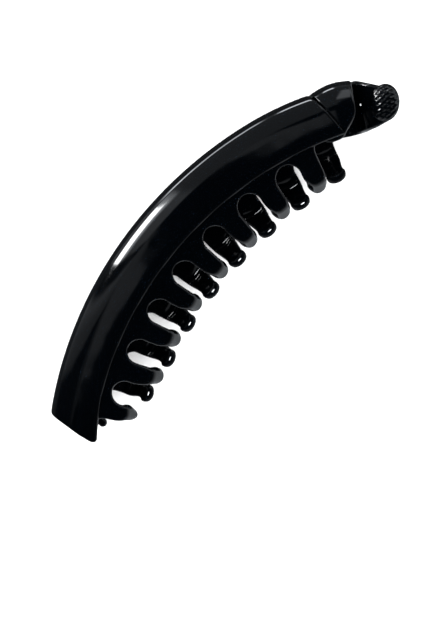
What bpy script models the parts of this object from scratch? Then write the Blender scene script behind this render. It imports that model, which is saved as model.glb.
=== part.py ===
"""Banana hair clip: two curved arms with combs, closed, lying on the back arm's cover.

Plan view: the arms follow an arc. A place is given by its radius from the arc's centre, its
angle along the arc (0 at the middle, positive towards the clasp) and its height from the plane
where the two arms meet. +X runs from the hinge to the clasp, +Y towards the spine, +Z up.
"""

import bmesh
import bpy
from math import asin, atan, atan2, cos, pi, radians, sin, sqrt, tan
from mathutils import Matrix, Vector

MM = 0.001

# Arc of the arms
SPINE_RADIUS = 138.0 * MM
COVER_LOW_RADIUS = 121.9 * MM
COVER_TOP = 11.7 * MM
CENTRE_X = 3.285 * MM
CENTRE_Y = -114.454 * MM

# Towards the clasp the spine is drawn in a little
DRAW_START_ANGLE = radians(13.0)
DRAW_FULL_ANGLE = radians(23.0)
DRAW_DEPTH = 0.7 * MM

# Cover section
FOOT = 0.4 * MM
COVER_WALL = 1.6 * MM
CORNER_WIDTH = 8.5 * MM
CORNER_START = 4.5 * MM
EDGE_ROUND_WIDTH = 2.1 * MM
EDGE_ROUND_DROP = 1.2 * MM
SEAM_X = 52.3 * MM
SEAM_GAP = 0.3 * MM

# Hinge end, cut a little aslant and swept outwards near the spine
CUT_SLOPE = 0.18
CUT_POINT = (-78.5 * MM, 113.3 * MM)
CUT_SWEEP_START = 105.0 * MM
CUT_SWEEP = 0.022 / MM
CUT_SWEEP_STEPS = 6
CUT_CORNER_RADIUS = 1.6 * MM
TRIM_MARGIN = 4.0 * MM
TRIM_TOP = 14.0 * MM
TRIM_ANGLE = radians(3.0)

# Comb strip
STRIP_LOW = 8.0 * MM
STRIP_TOP = 9.8 * MM
STRIP_OUTER_RADIUS = 131.2 * MM
STRIP_INNER_RADIUS = 122.9 * MM
STRIP_INSET = 0.9 * MM
STRIP_END_ANGLE = radians(24.4)

# Rim of a strip between its last tooth and the tip, as plan points
FRONT_RIM = tuple(
    (x * MM, y * MM)
    for x, y in ((46.4, 111.6), (48.3, 110.6), (50.3, 109.9), (52.0, 110.2), (54.4, 111.9))
)
FRONT_RIM_ANGLE = radians(21.4)
BACK_RIM = tuple((x * MM, y * MM) for x, y in ((50.6, 110.9), (54.4, 111.9)))

# Teeth
TOOTH_COUNT = 8
ROOT_FLARE = 1.6
ROOT_FLARE_DROP = 1.6 * MM
PITCH = radians(7.375)
TOOTH_ROOT_HALF_WIDTH = 3.4 * MM
TOOTH_TIP_HALF_WIDTH = 2.75 * MM
TOOTH_ROOT_THICKNESS = 1.9 * MM
TOOTH_TIP_THICKNESS = 2.9 * MM
TOOTH_STUB_RADIUS = 114.6 * MM
TOOTH_STUB_STEP = 0.6 * MM
TOOTH_BEND_RADIUS = 3.2 * MM
TOOTH_LAP = 2.4 * MM
TOOTH_LAP_INSET = 0.5 * MM
BEND_STEPS = 3
BEND_START_SHARE = 0.25
BEND_END_SHARE = 0.7
TOOTH_END_STATIONS = ((0.5, 0.9), (0.2, 1.0), (0.08, 1.0), (0.0, 1.0))
TOOTH_END_TAPERS = ((0.9, 0.9), (0.6, 0.5))
NOTCH_TOPS = tuple(r * MM for r in (119.2, 119.0, 119.0, 119.2, 119.4, 119.9, 120.7))
FRONT_TEETH = {
    "first": -4.5,
    "first_trim": 1.1 * MM,
    "tips": tuple(r * MM for r in (109.7, 105.4, 105.0, 105.0, 105.0, 105.6, 106.8, 108.5)),
    "end_height": 1.5 * MM,
    "rim": FRONT_RIM,
}
BACK_TEETH = {
    "first": -4.0,
    "first_trim": 0.0,
    "tips": tuple(r * MM for r in (106.4, 105.0, 104.6, 104.4, 104.6, 105.2, 106.6, 109.4)),
    "end_height": -2.1 * MM,
    "rim": BACK_RIM,
}

# Share of a finger's or the tongue's half thickness that its edges are chamfered by
CHAMFER_SHARE = 0.42

# Hinge
HINGE_X = -71.3 * MM
PIN_RADIUS = 1.5 * MM
PIN_HOLE_RADIUS = 1.8 * MM
KNUCKLE_RADIUS = 3.3 * MM
KNUCKLE_STARTS = tuple(y * MM for y in (99.4, 102.7, 106.8))
KNUCKLE_ENDS = tuple(y * MM for y in (102.4, 106.5, 109.9))
PIN_START_Y = 96.0 * MM
PIN_END_Y = 111.0 * MM
WEB_HALF_WIDTH = 2.0 * MM
WEB_LOW = 1.0 * MM
WEB_INSET = 0.02 * MM
PIN_DOME = 0.7 * MM
RELIEF_ANGLE = radians(145.0)
RELIEF_REACH = 14.0 * MM
RELIEF_START_Y = 90.0 * MM
RELIEF_END_Y = 130.0 * MM

# Tip past the seam, as plan points (x from the arc's centre line, y from its centre)
TIP_CORNERS = tuple(
    (x * MM, y * MM)
    for x, y in (
        (54.6, 111.2), (57.2, 112.0), (58.7, 112.9), (59.7, 114.3), (61.0, 116.7),
        (63.3, 120.4), (63.6, 121.7), (63.1, 122.7),
    )
)
TIP_HOLLOW_CORNERS = tuple(
    (x * MM, y * MM)
    for x, y in ((54.5, 113.2), (56.4, 113.8), (58.1, 115.4), (59.4, 117.6), (61.3, 120.7))
)
TIP_SEAM_LOW = 110.6 * MM
TIP_HOLLOW_RADIUS = 134.3 * MM
TIP_HOLLOW_ANGLES = (radians(26.0), radians(24.0))
TIP_BLOCK_START = radians(19.0)
TIP_BLOCK_END = radians(30.0)
TIP_LAST_ANGLE = radians(26.6)
TIP_ROOF = 9.0 * MM

# Tongue and thumb knob of the back arm
TIP_END_ANGLE = radians(27.9)
TONGUE_STATIONS = (
    # along, height, low radius, high radius, thickness
    (-5.2, -10.7, 120.9, 132.2, 1.7),
    (-1.4, -10.7, 120.5, 133.6, 1.7),
    (0.9, -10.0, 120.4, 135.9, 2.0),
    (2.2, -8.0, 120.4, 137.2, 2.2),
    (2.6, -5.0, 120.4, 137.5, 2.2),
    (2.9, -1.5, 120.5, 137.1, 2.2),
    (3.7, 1.4, 120.7, 136.2, 2.3),
    (5.3, 3.6, 120.9, 135.0, 2.5),
    (7.4, 4.7, 121.5, 133.7, 2.7),
    (9.4, 5.0, 122.3, 132.6, 2.7),
    (11.4, 5.1, 123.5, 131.4, 2.5),
    (12.7, 5.1, 125.1, 130.0, 2.0),
)
KNOB_ALONG = 9.1 * MM
KNOB_RADIUS_FROM_CENTRE = 127.5 * MM
KNOB_HEIGHT = 5.4 * MM
KNOB_HALF_SIZES = (4.6 * MM, 5.9 * MM, 3.0 * MM)
KNOB_TURN = radians(-17.0)

SWEEP_STEPS = 26
PLASTIC_COLOUR = (0.010, 0.012, 0.014, 1.0)


def plan(radius, angle):
    """Plan place of a radius and an angle along the arc."""
    return (radius * sin(angle), radius * cos(angle))


def place(x, y, height):
    """World place of a plan point and a height from the meeting plane."""
    return Vector((x + CENTRE_X, y + CENTRE_Y, height + COVER_TOP))


def arc_angle_at_cut(radius, inset=0.0):
    """Angle where an arc of this radius meets the slanted cut at the hinge end."""
    offset = CUT_POINT[0] + inset + CUT_SLOPE * CUT_POINT[1]
    return asin(offset / (radius * sqrt(1.0 + CUT_SLOPE**2))) - atan(CUT_SLOPE)


def rounded_corner(before, corner, after, radius, steps):
    """Plan points of a corner rounded with this radius."""
    here = Vector(corner)
    back = (Vector(before) - here).normalized()
    ahead = (Vector(after) - here).normalized()
    half = back.angle(ahead) / 2
    centre = here + (back + ahead).normalized() * radius / sin(half)
    touch_back = here + back * radius / tan(half) - centre
    touch_ahead = here + ahead * radius / tan(half) - centre
    points = []
    for i in range(steps + 1):
        spoke = touch_back.lerp(touch_ahead, i / steps).normalized() * radius
        points.append(tuple(centre + spoke))
    return points


def arc_angle_at_x(radius, x):
    """Angle where an arc of this radius reaches x."""
    return asin(x / radius)


def arc_points(radius, start, end, count):
    """Plan points along an arc, both ends included."""
    return [plan(radius, start + (end - start) * i / (count - 1)) for i in range(count)]


def collection(name):
    made = bpy.data.collections.new(name)
    bpy.context.scene.collection.children.link(made)
    return made


def black_plastic():
    """The one glossy black plastic of every piece."""
    material = bpy.data.materials.new("black_plastic")
    material.use_nodes = True
    shader = material.node_tree.nodes["Principled BSDF"]
    shader.inputs["Base Color"].default_value = PLASTIC_COLOUR
    shader.inputs["Roughness"].default_value = 0.12
    shader.inputs["Metallic"].default_value = 0.0
    return material


def mesh_object(name, mesh, group):
    made = bpy.data.objects.new(name, mesh)
    group.objects.link(made)
    return made


def cutter_object(name, mesh):
    """An object that only cuts or is joined to another one."""
    made = mesh_object(name, mesh, CUTTERS)
    made.hide_render = True
    made.display_type = "WIRE"
    return made


def mesh_from(name, bm):
    bmesh.ops.recalc_face_normals(bm, faces=bm.faces[:])
    mesh = bpy.data.meshes.new(name)
    bm.to_mesh(mesh)
    bm.free()
    return mesh


def prism(name, outline, low, high):
    """Solid of a flat outline between two heights: a filled 2D curve with an extrude."""
    curve = bpy.data.curves.new(name, "CURVE")
    curve.dimensions = "2D"
    curve.fill_mode = "BOTH"
    curve.extrude = (high - low) / 2
    spline = curve.splines.new("POLY")
    spline.points.add(len(outline) - 1)
    middle = (low + high) / 2
    for point, (x, y) in zip(spline.points, outline):
        point.co = (*place(x, y, 0.0).xy, 0.0, 1.0)
    spline.use_cyclic_u = True
    holder = mesh_object(name, curve, CUTTERS)
    holder.location.z = middle + COVER_TOP
    bpy.context.view_layer.update()
    evaluated = holder.evaluated_get(bpy.context.evaluated_depsgraph_get())
    mesh = bpy.data.meshes.new_from_object(evaluated)
    mesh.transform(holder.matrix_world)
    bpy.data.objects.remove(holder)
    bpy.data.curves.remove(curve)
    bm = bmesh.new()
    bm.from_mesh(mesh)
    bpy.data.meshes.remove(mesh)
    bmesh.ops.remove_doubles(bm, verts=bm.verts[:], dist=0.001 * MM)
    return cutter_object(name, mesh_from(name, bm))


def swept_section(name, section, start, end):
    """Solid of a closed section (radius, height) turned about the arc's centre."""
    bm = bmesh.new()
    ring = [bm.verts.new(place(*plan(radius, start), height)) for radius, height in section]
    for i, vertex in enumerate(ring):
        bm.edges.new((vertex, ring[(i + 1) % len(ring)]))
    bmesh.ops.spin(
        bm, geom=bm.verts[:] + bm.edges[:], cent=place(0.0, 0.0, 0.0), axis=(0.0, 0.0, -1.0),
        angle=end - start, steps=SWEEP_STEPS,
    )
    bmesh.ops.holes_fill(bm, edges=[edge for edge in bm.edges if edge.is_boundary])
    mesh = mesh_from(name, bm)
    draw_in(mesh)
    return cutter_object(name, mesh)


def draw_in(mesh):
    """Draw the spine in towards the clasp, less and less down to the tooth edge."""
    for vertex in mesh.vertices:
        x = vertex.co.x - CENTRE_X
        y = vertex.co.y - CENTRE_Y
        radius = sqrt(x * x + y * y)
        run = (atan2(x, y) - DRAW_START_ANGLE) / (DRAW_FULL_ANGLE - DRAW_START_ANGLE)
        share = (radius - COVER_LOW_RADIUS) / (SPINE_RADIUS - COVER_LOW_RADIUS)
        depth = DRAW_DEPTH * min(max(run, 0.0), 1.0)**2 * min(max(share, 0.0), 1.0)
        vertex.co.x -= depth * x / radius
        vertex.co.y -= depth * y / radius


def loft(name, rings):
    """Solid through closed rings of equal point counts, capped at both ends."""
    bm = bmesh.new()
    loops = [[bm.verts.new(point) for point in ring] for ring in rings]
    for near, far in zip(loops, loops[1:]):
        for i in range(len(near)):
            j = (i + 1) % len(near)
            bm.faces.new((near[i], near[j], far[j], far[i]))
    bm.faces.new(loops[0])
    bm.faces.new(loops[-1])
    return mesh_from(name, bm)


def combine(target, tool, operation):
    """Boolean of two solids, left live on the target."""
    modifier = target.modifiers.new(f"{operation.lower()}_{tool.name}", "BOOLEAN")
    modifier.operation = operation
    modifier.solver = "EXACT"
    modifier.object = tool


def quarter(centre, size, start, end, steps):
    """Points of an elliptic arc about a centre, in (radius, height)."""
    turns = [start + (end - start) * i / steps for i in range(steps + 1)]
    return [(centre[0] + size[0] * cos(t), centre[1] + size[1] * sin(t)) for t in turns]


def outer_skin():
    """Outer side of an arm's section, from the foot of its back wall to its tooth edge."""
    corner = quarter(
        (SPINE_RADIUS - CORNER_WIDTH, CORNER_START),
        (CORNER_WIDTH, COVER_TOP - CORNER_START), 0.0, pi / 2, 6,
    )
    edge = quarter(
        (COVER_LOW_RADIUS + EDGE_ROUND_WIDTH, COVER_TOP - EDGE_ROUND_DROP),
        (EDGE_ROUND_WIDTH, EDGE_ROUND_DROP), pi / 2, pi, 3,
    )
    return [(SPINE_RADIUS, FOOT)] + corner + edge


def arm_section(wall):
    """Closed section of an arm's shell with this wall thickness."""
    corner = quarter(
        (SPINE_RADIUS - CORNER_WIDTH, CORNER_START),
        (CORNER_WIDTH - wall, COVER_TOP - CORNER_START - wall), pi / 2, 0.0, 5,
    )
    inner = [(COVER_LOW_RADIUS, COVER_TOP - wall)] + corner + [(SPINE_RADIUS - wall, FOOT)]
    return outer_skin() + inner


def flipped(section, side):
    """The section on the front side (1) or mirrored to the back side (-1)."""
    return [(radius, side * height) for radius, height in section]


def heights(low, high, side):
    """A height range on the front side (1) or mirrored to the back side (-1)."""
    return (low, high) if side > 0 else (-high, -low)


def cut_x(y):
    """Plan x of the cut at the hinge end: a slanted line, swept outwards near the spine."""
    past = max(y - CUT_SWEEP_START, 0.0)
    return CUT_POINT[0] + CUT_SLOPE * (CUT_POINT[1] - y) - CUT_SWEEP * past**2


def cover_outline():
    """Plan outline that trims a cover: slanted hinge end with a rounded corner, straight seam."""
    far = SPINE_RADIUS + TRIM_MARGIN
    low = COVER_LOW_RADIUS
    start = arc_angle_at_cut(low)
    step = (CUT_POINT[1] - CUT_SWEEP_START) / CUT_SWEEP_STEPS
    levels = [CUT_POINT[1] - step * i for i in range(CUT_SWEEP_STEPS + 1)]
    swept = [(cut_x(y), y) for y in levels]
    top = (swept[0][0], far)
    tail = arc_points(low, start + TRIM_ANGLE, arc_angle_at_x(low, SEAM_X), 12)
    tail = [(x, y - TRIM_MARGIN * i / len(tail)) for i, (x, y) in enumerate(tail)]
    corner = rounded_corner(swept[-1], plan(low, start), tail[0], CUT_CORNER_RADIUS, 4)
    return [top] + swept + corner + tail + [(SEAM_X, far)]


def relief_outline(side):
    """Side-view wedge that lets the ends pass each other as the clip opens."""
    rise = -RELIEF_REACH * tan(RELIEF_ANGLE)
    outline = (
        (HINGE_X + FOOT, -TRIM_MARGIN),
        (HINGE_X + FOOT, FOOT),
        (HINGE_X, FOOT),
        (HINGE_X - RELIEF_REACH, rise + FOOT),
        (HINGE_X - RELIEF_REACH, -TRIM_MARGIN),
    )
    return [(x, height * side) for x, height in outline]


def side_prism(name, outline, y_low, y_high):
    """Solid of a side-view outline (x, height) between two plan y values."""
    rings = [[place(x, y, height) for x, height in outline] for y in (y_low, y_high)]
    return cutter_object(name, loft(name, rings))


def cover(name, side):
    """One glossy cover: the shell section swept along the arc and trimmed in plan."""
    start = arc_angle_at_cut(COVER_LOW_RADIUS) - TRIM_ANGLE
    end = arc_angle_at_x(COVER_LOW_RADIUS, SEAM_X) + TRIM_ANGLE
    body = swept_section(f"{name}_sweep", flipped(arm_section(COVER_WALL), side), start, end)
    trim = prism(f"{name}_trim", cover_outline(), *heights(-TRIM_MARGIN, TRIM_TOP, side))
    relief = side_prism(f"{name}_relief", relief_outline(side), RELIEF_START_Y, RELIEF_END_Y)
    combine(body, trim, "INTERSECT")
    combine(body, relief, "DIFFERENCE")
    return finished(name, body)


def finished(name, source):
    """The evaluated result as a plain object of its own."""
    bpy.context.view_layer.update()
    evaluated = source.evaluated_get(bpy.context.evaluated_depsgraph_get())
    mesh = bpy.data.meshes.new_from_object(evaluated)
    mesh.name = name
    mesh.transform(source.matrix_world)
    bm = bmesh.new()
    bm.from_mesh(mesh)
    bmesh.ops.remove_doubles(bm, verts=bm.verts[:], dist=0.002 * MM)
    bmesh.ops.dissolve_degenerate(bm, edges=bm.edges[:], dist=0.002 * MM)
    bm.to_mesh(mesh)
    bm.free()
    mesh.materials.clear()
    mesh.materials.append(PLASTIC)
    mesh.shade_smooth()
    mesh.set_sharp_from_angle(angle=radians(30.0))
    return mesh_object(name, mesh, CLIP)


def tooth_angle(teeth, index):
    """Angle of a tooth's middle; the first one is trimmed on the hinge's side."""
    shift = teeth["first_trim"] / 2 / TOOTH_STUB_RADIUS if index == 0 else 0.0
    return (teeth["first"] + index) * PITCH + shift


def tooth_half_width(teeth, index):
    """Half width of a tooth at its root."""
    return TOOTH_ROOT_HALF_WIDTH - (teeth["first_trim"] / 2 if index == 0 else 0.0)


def local_point(angle, radius, along, across):
    """Plan point beside a radius: across runs along the arc, along runs outwards."""
    x, y = plan(radius, angle)
    return (
        x + along * sin(angle) + across * cos(angle),
        y + along * cos(angle) - across * sin(angle),
    )


def notch_arc(angle, top):
    """Round end of a notch, from the tooth before it to the tooth after it."""
    half = top * PITCH / 2 / (1 + PITCH / 2) - TOOTH_ROOT_HALF_WIDTH / (1 + PITCH / 2)
    turns = [pi - pi * i / 8 for i in range(9)]
    return [local_point(angle, top - half, half * sin(t), half * cos(t)) for t in turns]


def strip_outline(teeth):
    """Plan outline of a comb strip with its round notches and short tooth stubs."""
    outer = STRIP_OUTER_RADIUS
    inner = STRIP_INNER_RADIUS
    first = tooth_angle(teeth, 0)
    last = tooth_angle(teeth, TOOTH_COUNT - 1)
    stub = TOOTH_STUB_RADIUS
    flare = ROOT_FLARE * TOOTH_ROOT_HALF_WIDTH / inner
    start = arc_angle_at_cut(inner, STRIP_INSET)
    points = arc_points(inner, start, first - flare, 3)
    points.append(local_point(first, inner, -ROOT_FLARE_DROP, -tooth_half_width(teeth, 0)))
    for index in range(TOOTH_COUNT):
        angle = tooth_angle(teeth, index)
        half = tooth_half_width(teeth, index)
        points.append(local_point(angle, stub, 0.0, -half))
        points.append(local_point(angle, stub, 0.0, half))
        if index < TOOTH_COUNT - 1:
            gap_middle = (teeth["first"] + index + 0.5) * PITCH
            points += notch_arc(gap_middle, NOTCH_TOPS[index])
    points.append(local_point(last, inner, -ROOT_FLARE_DROP, TOOTH_ROOT_HALF_WIDTH))
    if teeth is FRONT_TEETH:
        points += arc_points(inner, last + flare, FRONT_RIM_ANGLE, 2)
    points += teeth["rim"]
    points += arc_points(outer, STRIP_END_ANGLE, arc_angle_at_cut(outer, STRIP_INSET), 22)
    return points


def rounded_ring(centre, wide, thick, half_width, half_thickness):
    """Eight-sided ring about a centre, in the directions wide and thick."""
    chamfer = CHAMFER_SHARE * min(half_width, half_thickness)
    inner_w = half_width - chamfer
    inner_t = half_thickness - chamfer
    corners = (
        (inner_w, -half_thickness), (half_width, -inner_t), (half_width, inner_t),
        (inner_w, half_thickness), (-inner_w, half_thickness), (-half_width, inner_t),
        (-half_width, -inner_t), (-inner_w, -half_thickness),
    )
    return [centre + wide * w + thick * t for w, t in corners]


def tooth_path(tip_radius, end_height):
    """Stations of a tooth: radius, height, turn of the path, share of the tip's size reached."""
    run = tip_radius + TOOTH_TIP_THICKNESS / 2
    level = (STRIP_LOW + STRIP_TOP) / 2
    bend_from = run + TOOTH_BEND_RADIUS
    path = [
        (TOOTH_STUB_RADIUS + TOOTH_LAP, level, 0.0, 0.0),
        (TOOTH_STUB_RADIUS - TOOTH_STUB_STEP, level, 0.0, BEND_START_SHARE / 4),
    ]
    for i in range(BEND_STEPS + 1):
        turn = pi / 2 * i / BEND_STEPS
        path.append((
            bend_from - TOOTH_BEND_RADIUS * sin(turn),
            level - TOOTH_BEND_RADIUS * (1 - cos(turn)),
            turn,
            BEND_START_SHARE + (BEND_END_SHARE - BEND_START_SHARE) * i / BEND_STEPS,
        ))
    drop = level - TOOTH_BEND_RADIUS - end_height
    for share, grown in TOOTH_END_STATIONS:
        path.append((run, end_height + share * drop, pi / 2, grown))
    return path


def tooth(name, teeth, index, side):
    """One tooth: a flat finger that runs inwards and turns towards the other arm."""
    angle = tooth_angle(teeth, index)
    root_half_width = tooth_half_width(teeth, index)
    wide = Vector((cos(angle), -sin(angle), 0.0))
    outward = Vector((sin(angle), cos(angle), 0.0))
    up = Vector((0.0, 0.0, side))
    path = tooth_path(teeth["tips"][index], teeth["end_height"])
    rings = []
    for step, (radius, height, turn, grown) in enumerate(path):
        half_width = root_half_width + grown * (TOOTH_TIP_HALF_WIDTH - root_half_width)
        thickness = TOOTH_ROOT_THICKNESS + grown * (TOOTH_TIP_THICKNESS - TOOTH_ROOT_THICKNESS)
        if step == 0:
            half_width -= TOOTH_LAP_INSET
            thickness -= TOOTH_LAP_INSET
        if step >= len(path) - len(TOOTH_END_TAPERS):
            narrowed, thinned = TOOTH_END_TAPERS[step - len(path)]
            half_width *= narrowed
            thickness *= thinned
        centre = place(*plan(radius, angle), side * height)
        thick = up * cos(turn) - outward * sin(turn)
        rings.append(rounded_ring(centre, wide, thick, half_width, thickness / 2))
    return loft(name, rings)


def tip_outline():
    """Plan outline of the closed tip past the seam."""
    seam = SEAM_X + SEAM_GAP
    spine = arc_points(SPINE_RADIUS, TIP_LAST_ANGLE, arc_angle_at_x(SPINE_RADIUS, seam), 5)
    return list(TIP_CORNERS) + spine + [(seam, TIP_SEAM_LOW)]


def tip_cap(name, side):
    """Closed tip past the seam: the arm's outer skin trimmed to the tip's outline."""
    skin = outer_skin()
    low = COVER_LOW_RADIUS - TRIM_MARGIN
    block = skin[:-1] + [(low, COVER_TOP - EDGE_ROUND_DROP), (low, FOOT)]
    body = swept_section(f"{name}_block", flipped(block, side), TIP_BLOCK_START, TIP_BLOCK_END)
    trim = prism(f"{name}_outline", tip_outline(), *heights(-TRIM_MARGIN, TRIM_TOP, side))
    back = arc_points(TIP_HOLLOW_RADIUS, *TIP_HOLLOW_ANGLES, 3)
    inside = list(TIP_HOLLOW_CORNERS) + back
    hollow = prism(f"{name}_hollow", inside, *heights(-TRIM_MARGIN, TIP_ROOF, side))
    combine(body, trim, "INTERSECT")
    combine(body, hollow, "DIFFERENCE")
    return body


def knuckle(name, start, end, side):
    """Hinge knuckle round the pin's axis with the web that carries it."""
    middle = place(HINGE_X, (start + end) / 2, 0.0)
    turned = Matrix.Rotation(pi / 2, 4, "X")
    bm = bmesh.new()
    bmesh.ops.create_cone(
        bm, cap_ends=True, segments=16, radius1=KNUCKLE_RADIUS, radius2=KNUCKLE_RADIUS,
        depth=end - start, matrix=Matrix.Translation(middle) @ turned,
    )
    barrel = cutter_object(f"{name}_barrel", mesh_from(f"{name}_barrel", bm))
    web_x = WEB_HALF_WIDTH
    low, high = heights(WEB_LOW, (STRIP_LOW + STRIP_TOP) / 2, side)
    outline = [
        (HINGE_X - web_x, low), (HINGE_X + web_x, low),
        (HINGE_X + web_x, high), (HINGE_X - web_x, high),
    ]
    web = side_prism(f"{name}_web", outline, start + WEB_INSET, end - WEB_INSET)
    combine(barrel, web, "UNION")
    return barrel


def pin_hole(name):
    """Cutter for the hole that the pin turns in."""
    middle = place(HINGE_X, (PIN_START_Y + PIN_END_Y) / 2, 0.0)
    turned = Matrix.Rotation(pi / 2, 4, "X")
    bm = bmesh.new()
    bmesh.ops.create_cone(
        bm, cap_ends=True, segments=16, radius1=PIN_HOLE_RADIUS, radius2=PIN_HOLE_RADIUS,
        depth=PIN_END_Y - PIN_START_Y + TRIM_MARGIN, matrix=Matrix.Translation(middle) @ turned,
    )
    return cutter_object(name, mesh_from(name, bm))


def comb(name, teeth, side, knuckles, extras):
    """One comb: strip, teeth, tip and knuckles joined into one solid."""
    strip = prism(
        f"{name}_strip", strip_outline(teeth), *heights(STRIP_LOW, STRIP_TOP, side)
    )
    bm = bmesh.new()
    for index in range(TOOTH_COUNT):
        bm.from_mesh(tooth(f"{name}_tooth_{index}", teeth, index, side))
    fingers = cutter_object(f"{name}_fingers", mesh_from(f"{name}_fingers", bm))
    combine(strip, fingers, "UNION")
    combine(strip, tip_cap(f"{name}_tip", side), "UNION")
    for index in knuckles:
        barrel = knuckle(f"{name}_knuckle_{index}", KNUCKLE_STARTS[index], KNUCKLE_ENDS[index], side)
        combine(strip, barrel, "UNION")
    for extra in extras:
        combine(strip, extra, "UNION")
    combine(strip, pin_hole(f"{name}_pin_hole"), "DIFFERENCE")
    return finished(name, strip)


def tongue_frame():
    """Directions of the tongue: along its path and outwards across it."""
    angle = TIP_END_ANGLE
    return Vector((cos(angle), -sin(angle), 0.0)), Vector((sin(angle), cos(angle), 0.0))


def tongue():
    """Springy tongue: a strip that rises past the front tip and turns out to the knob."""
    forward, outward = tongue_frame()
    up = Vector((0.0, 0.0, 1.0))
    stations = [tuple(value * MM for value in row) for row in TONGUE_STATIONS]
    rings = []
    for i, (along, height, low, high, thickness) in enumerate(stations):
        before = stations[max(i - 1, 0)]
        after = stations[min(i + 1, len(stations) - 1)]
        run = Vector((after[0] - before[0], after[1] - before[1])).normalized()
        normal = up * run.x - forward * run.y
        centre = place(0.0, 0.0, height) + forward * along + outward * (low + high) / 2
        rings.append(rounded_ring(centre, outward, normal, (high - low) / 2, thickness / 2))
    return cutter_object("tongue", loft("tongue", rings))


def knob():
    """Round thumb knob at the end of the tongue."""
    forward, outward = tongue_frame()
    centre = place(0.0, 0.0, KNOB_HEIGHT) + forward * KNOB_ALONG + outward * KNOB_RADIUS_FROM_CENTRE
    bm = bmesh.new()
    turn = Matrix.Rotation(KNOB_TURN - TIP_END_ANGLE, 4, "Z")
    size = Matrix.Diagonal((*KNOB_HALF_SIZES, 1.0))
    bmesh.ops.create_uvsphere(
        bm, u_segments=20, v_segments=12, radius=1.0, matrix=Matrix.Translation(centre) @ turn @ size
    )
    return cutter_object("knob", mesh_from("knob", bm))


def hinge_pin():
    """Plain pin with a domed end, turned about the hinge axis."""
    profile = [(0.0, PIN_START_Y)]
    profile += [
        (PIN_RADIUS * sin(t), PIN_START_Y + PIN_DOME * (1 - cos(t)))
        for t in (radians(30.0), radians(60.0), radians(90.0))
    ]
    profile += [(PIN_RADIUS, PIN_END_Y), (0.0, PIN_END_Y)]
    bm = bmesh.new()
    centre = place(HINGE_X, 0.0, 0.0)
    chain = [bm.verts.new(centre + Vector((radius, y, 0.0))) for radius, y in profile]
    for first, second in zip(chain, chain[1:]):
        bm.edges.new((first, second))
    bmesh.ops.spin(
        bm, geom=bm.verts[:] + bm.edges[:], cent=centre, axis=(0.0, 1.0, 0.0), angle=2 * pi, steps=16
    )
    bmesh.ops.remove_doubles(bm, verts=bm.verts[:], dist=0.01 * MM)
    return finished("hinge_pin", cutter_object("pin_turned", mesh_from("pin_turned", bm)))


def hang_on_hinge(pieces):
    """Parent the front arm's pieces to an empty on the hinge axis."""
    axis = bpy.data.objects.new("hinge_axis", None)
    axis.location = place(HINGE_X, KNUCKLE_STARTS[1], 0.0)
    CLIP.objects.link(axis)
    for piece in pieces:
        piece.parent = axis
        piece.location = -axis.location


for leftover in list(bpy.data.objects):
    bpy.data.objects.remove(leftover)

CLIP = collection("banana_hair_clip")
CUTTERS = collection("cutters")
PLASTIC = black_plastic()

FRONT = 1
BACK = -1
front_cover = cover("front_cover", FRONT)
back_cover = cover("back_cover", BACK)
front_comb = comb("front_comb", FRONT_TEETH, FRONT, (1,), ())
back_comb = comb("back_comb", BACK_TEETH, BACK, (0, 2), (tongue(), knob()))
hinge_pin()
hang_on_hinge((front_cover, front_comb))
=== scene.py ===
"""Banana hair clip, closed and lying on its back arm: both arms, the hinge pin and the stage.

Shapes are worked out in millimetres about the centre of the clip's arc. A place is given by its
radius, its angle along the arc (0 in the middle, positive towards the clasp) and its height from
the plane where the two arms meet. The back arm is the front arm's shape mirrored in that plane.
"""

import bmesh
import bpy
import numpy as np
from bpy.props import FloatProperty, FloatVectorProperty, PointerProperty
from mathutils import Matrix, Vector


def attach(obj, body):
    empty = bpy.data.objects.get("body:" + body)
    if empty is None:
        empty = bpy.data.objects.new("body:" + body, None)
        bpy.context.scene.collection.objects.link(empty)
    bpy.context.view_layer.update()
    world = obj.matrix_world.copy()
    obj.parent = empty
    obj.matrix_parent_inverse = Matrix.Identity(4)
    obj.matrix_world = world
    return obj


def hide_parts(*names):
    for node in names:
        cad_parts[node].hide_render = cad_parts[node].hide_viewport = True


bl_info = {
    "name": "Banana hair clip",
    "version": (1, 0, 0),
    "blender": (4, 5, 0),
    "location": "3D View > Sidebar > Hair clip",
    "description": "Builds a glossy banana hair clip around its fixed CAD frame",
    "category": "Add Mesh",
}

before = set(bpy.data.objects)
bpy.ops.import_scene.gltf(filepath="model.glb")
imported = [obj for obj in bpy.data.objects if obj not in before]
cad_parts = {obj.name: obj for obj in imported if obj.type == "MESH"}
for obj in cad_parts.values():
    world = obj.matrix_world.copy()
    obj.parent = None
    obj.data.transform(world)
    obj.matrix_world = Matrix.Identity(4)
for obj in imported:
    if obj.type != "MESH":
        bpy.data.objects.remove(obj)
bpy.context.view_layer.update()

MM = 0.001
FRONT = 1
BACK = -1
MIRROR = np.array([1.0, 1.0, -1.0])
MERGE_DISTANCE = 0.001
X, Y, Z = range(3)

# Arc of the arms
SPINE_RADIUS = 137.97
COVER_LOW_RADIUS = 121.9
COVER_TOP = 11.7
CENTRE = np.array([3.285, -114.454, COVER_TOP])
DRAW_START, DRAW_FULL = np.radians([13.0, 23.0])
DRAW_DEPTH = 0.7

# Cover section; a run is the way round it from the spine's side to the tooth edge
FOOT = 0.4
FOOT_ROUND = 0.6
COVER_WALL = 1.6
CROWN = 0.3
CORNER_WIDTH = 8.5
CORNER_START = 4.5
CORNER_RUN = 12.3
FLAT_RUN = SPINE_RADIUS - CORNER_WIDTH - COVER_LOW_RADIUS
EDGE_ROUND_WIDTH = 1.35
EDGE_ROUND_DROP = 1.0
INNER_EDGE_ROUND = COVER_WALL - EDGE_ROUND_DROP
COVER_LENGTH = 133.0
COVER_END_REACH = 0.8
COVER_STEPS_ALONG = 210
COVER_STEPS_ACROSS = 56

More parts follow.
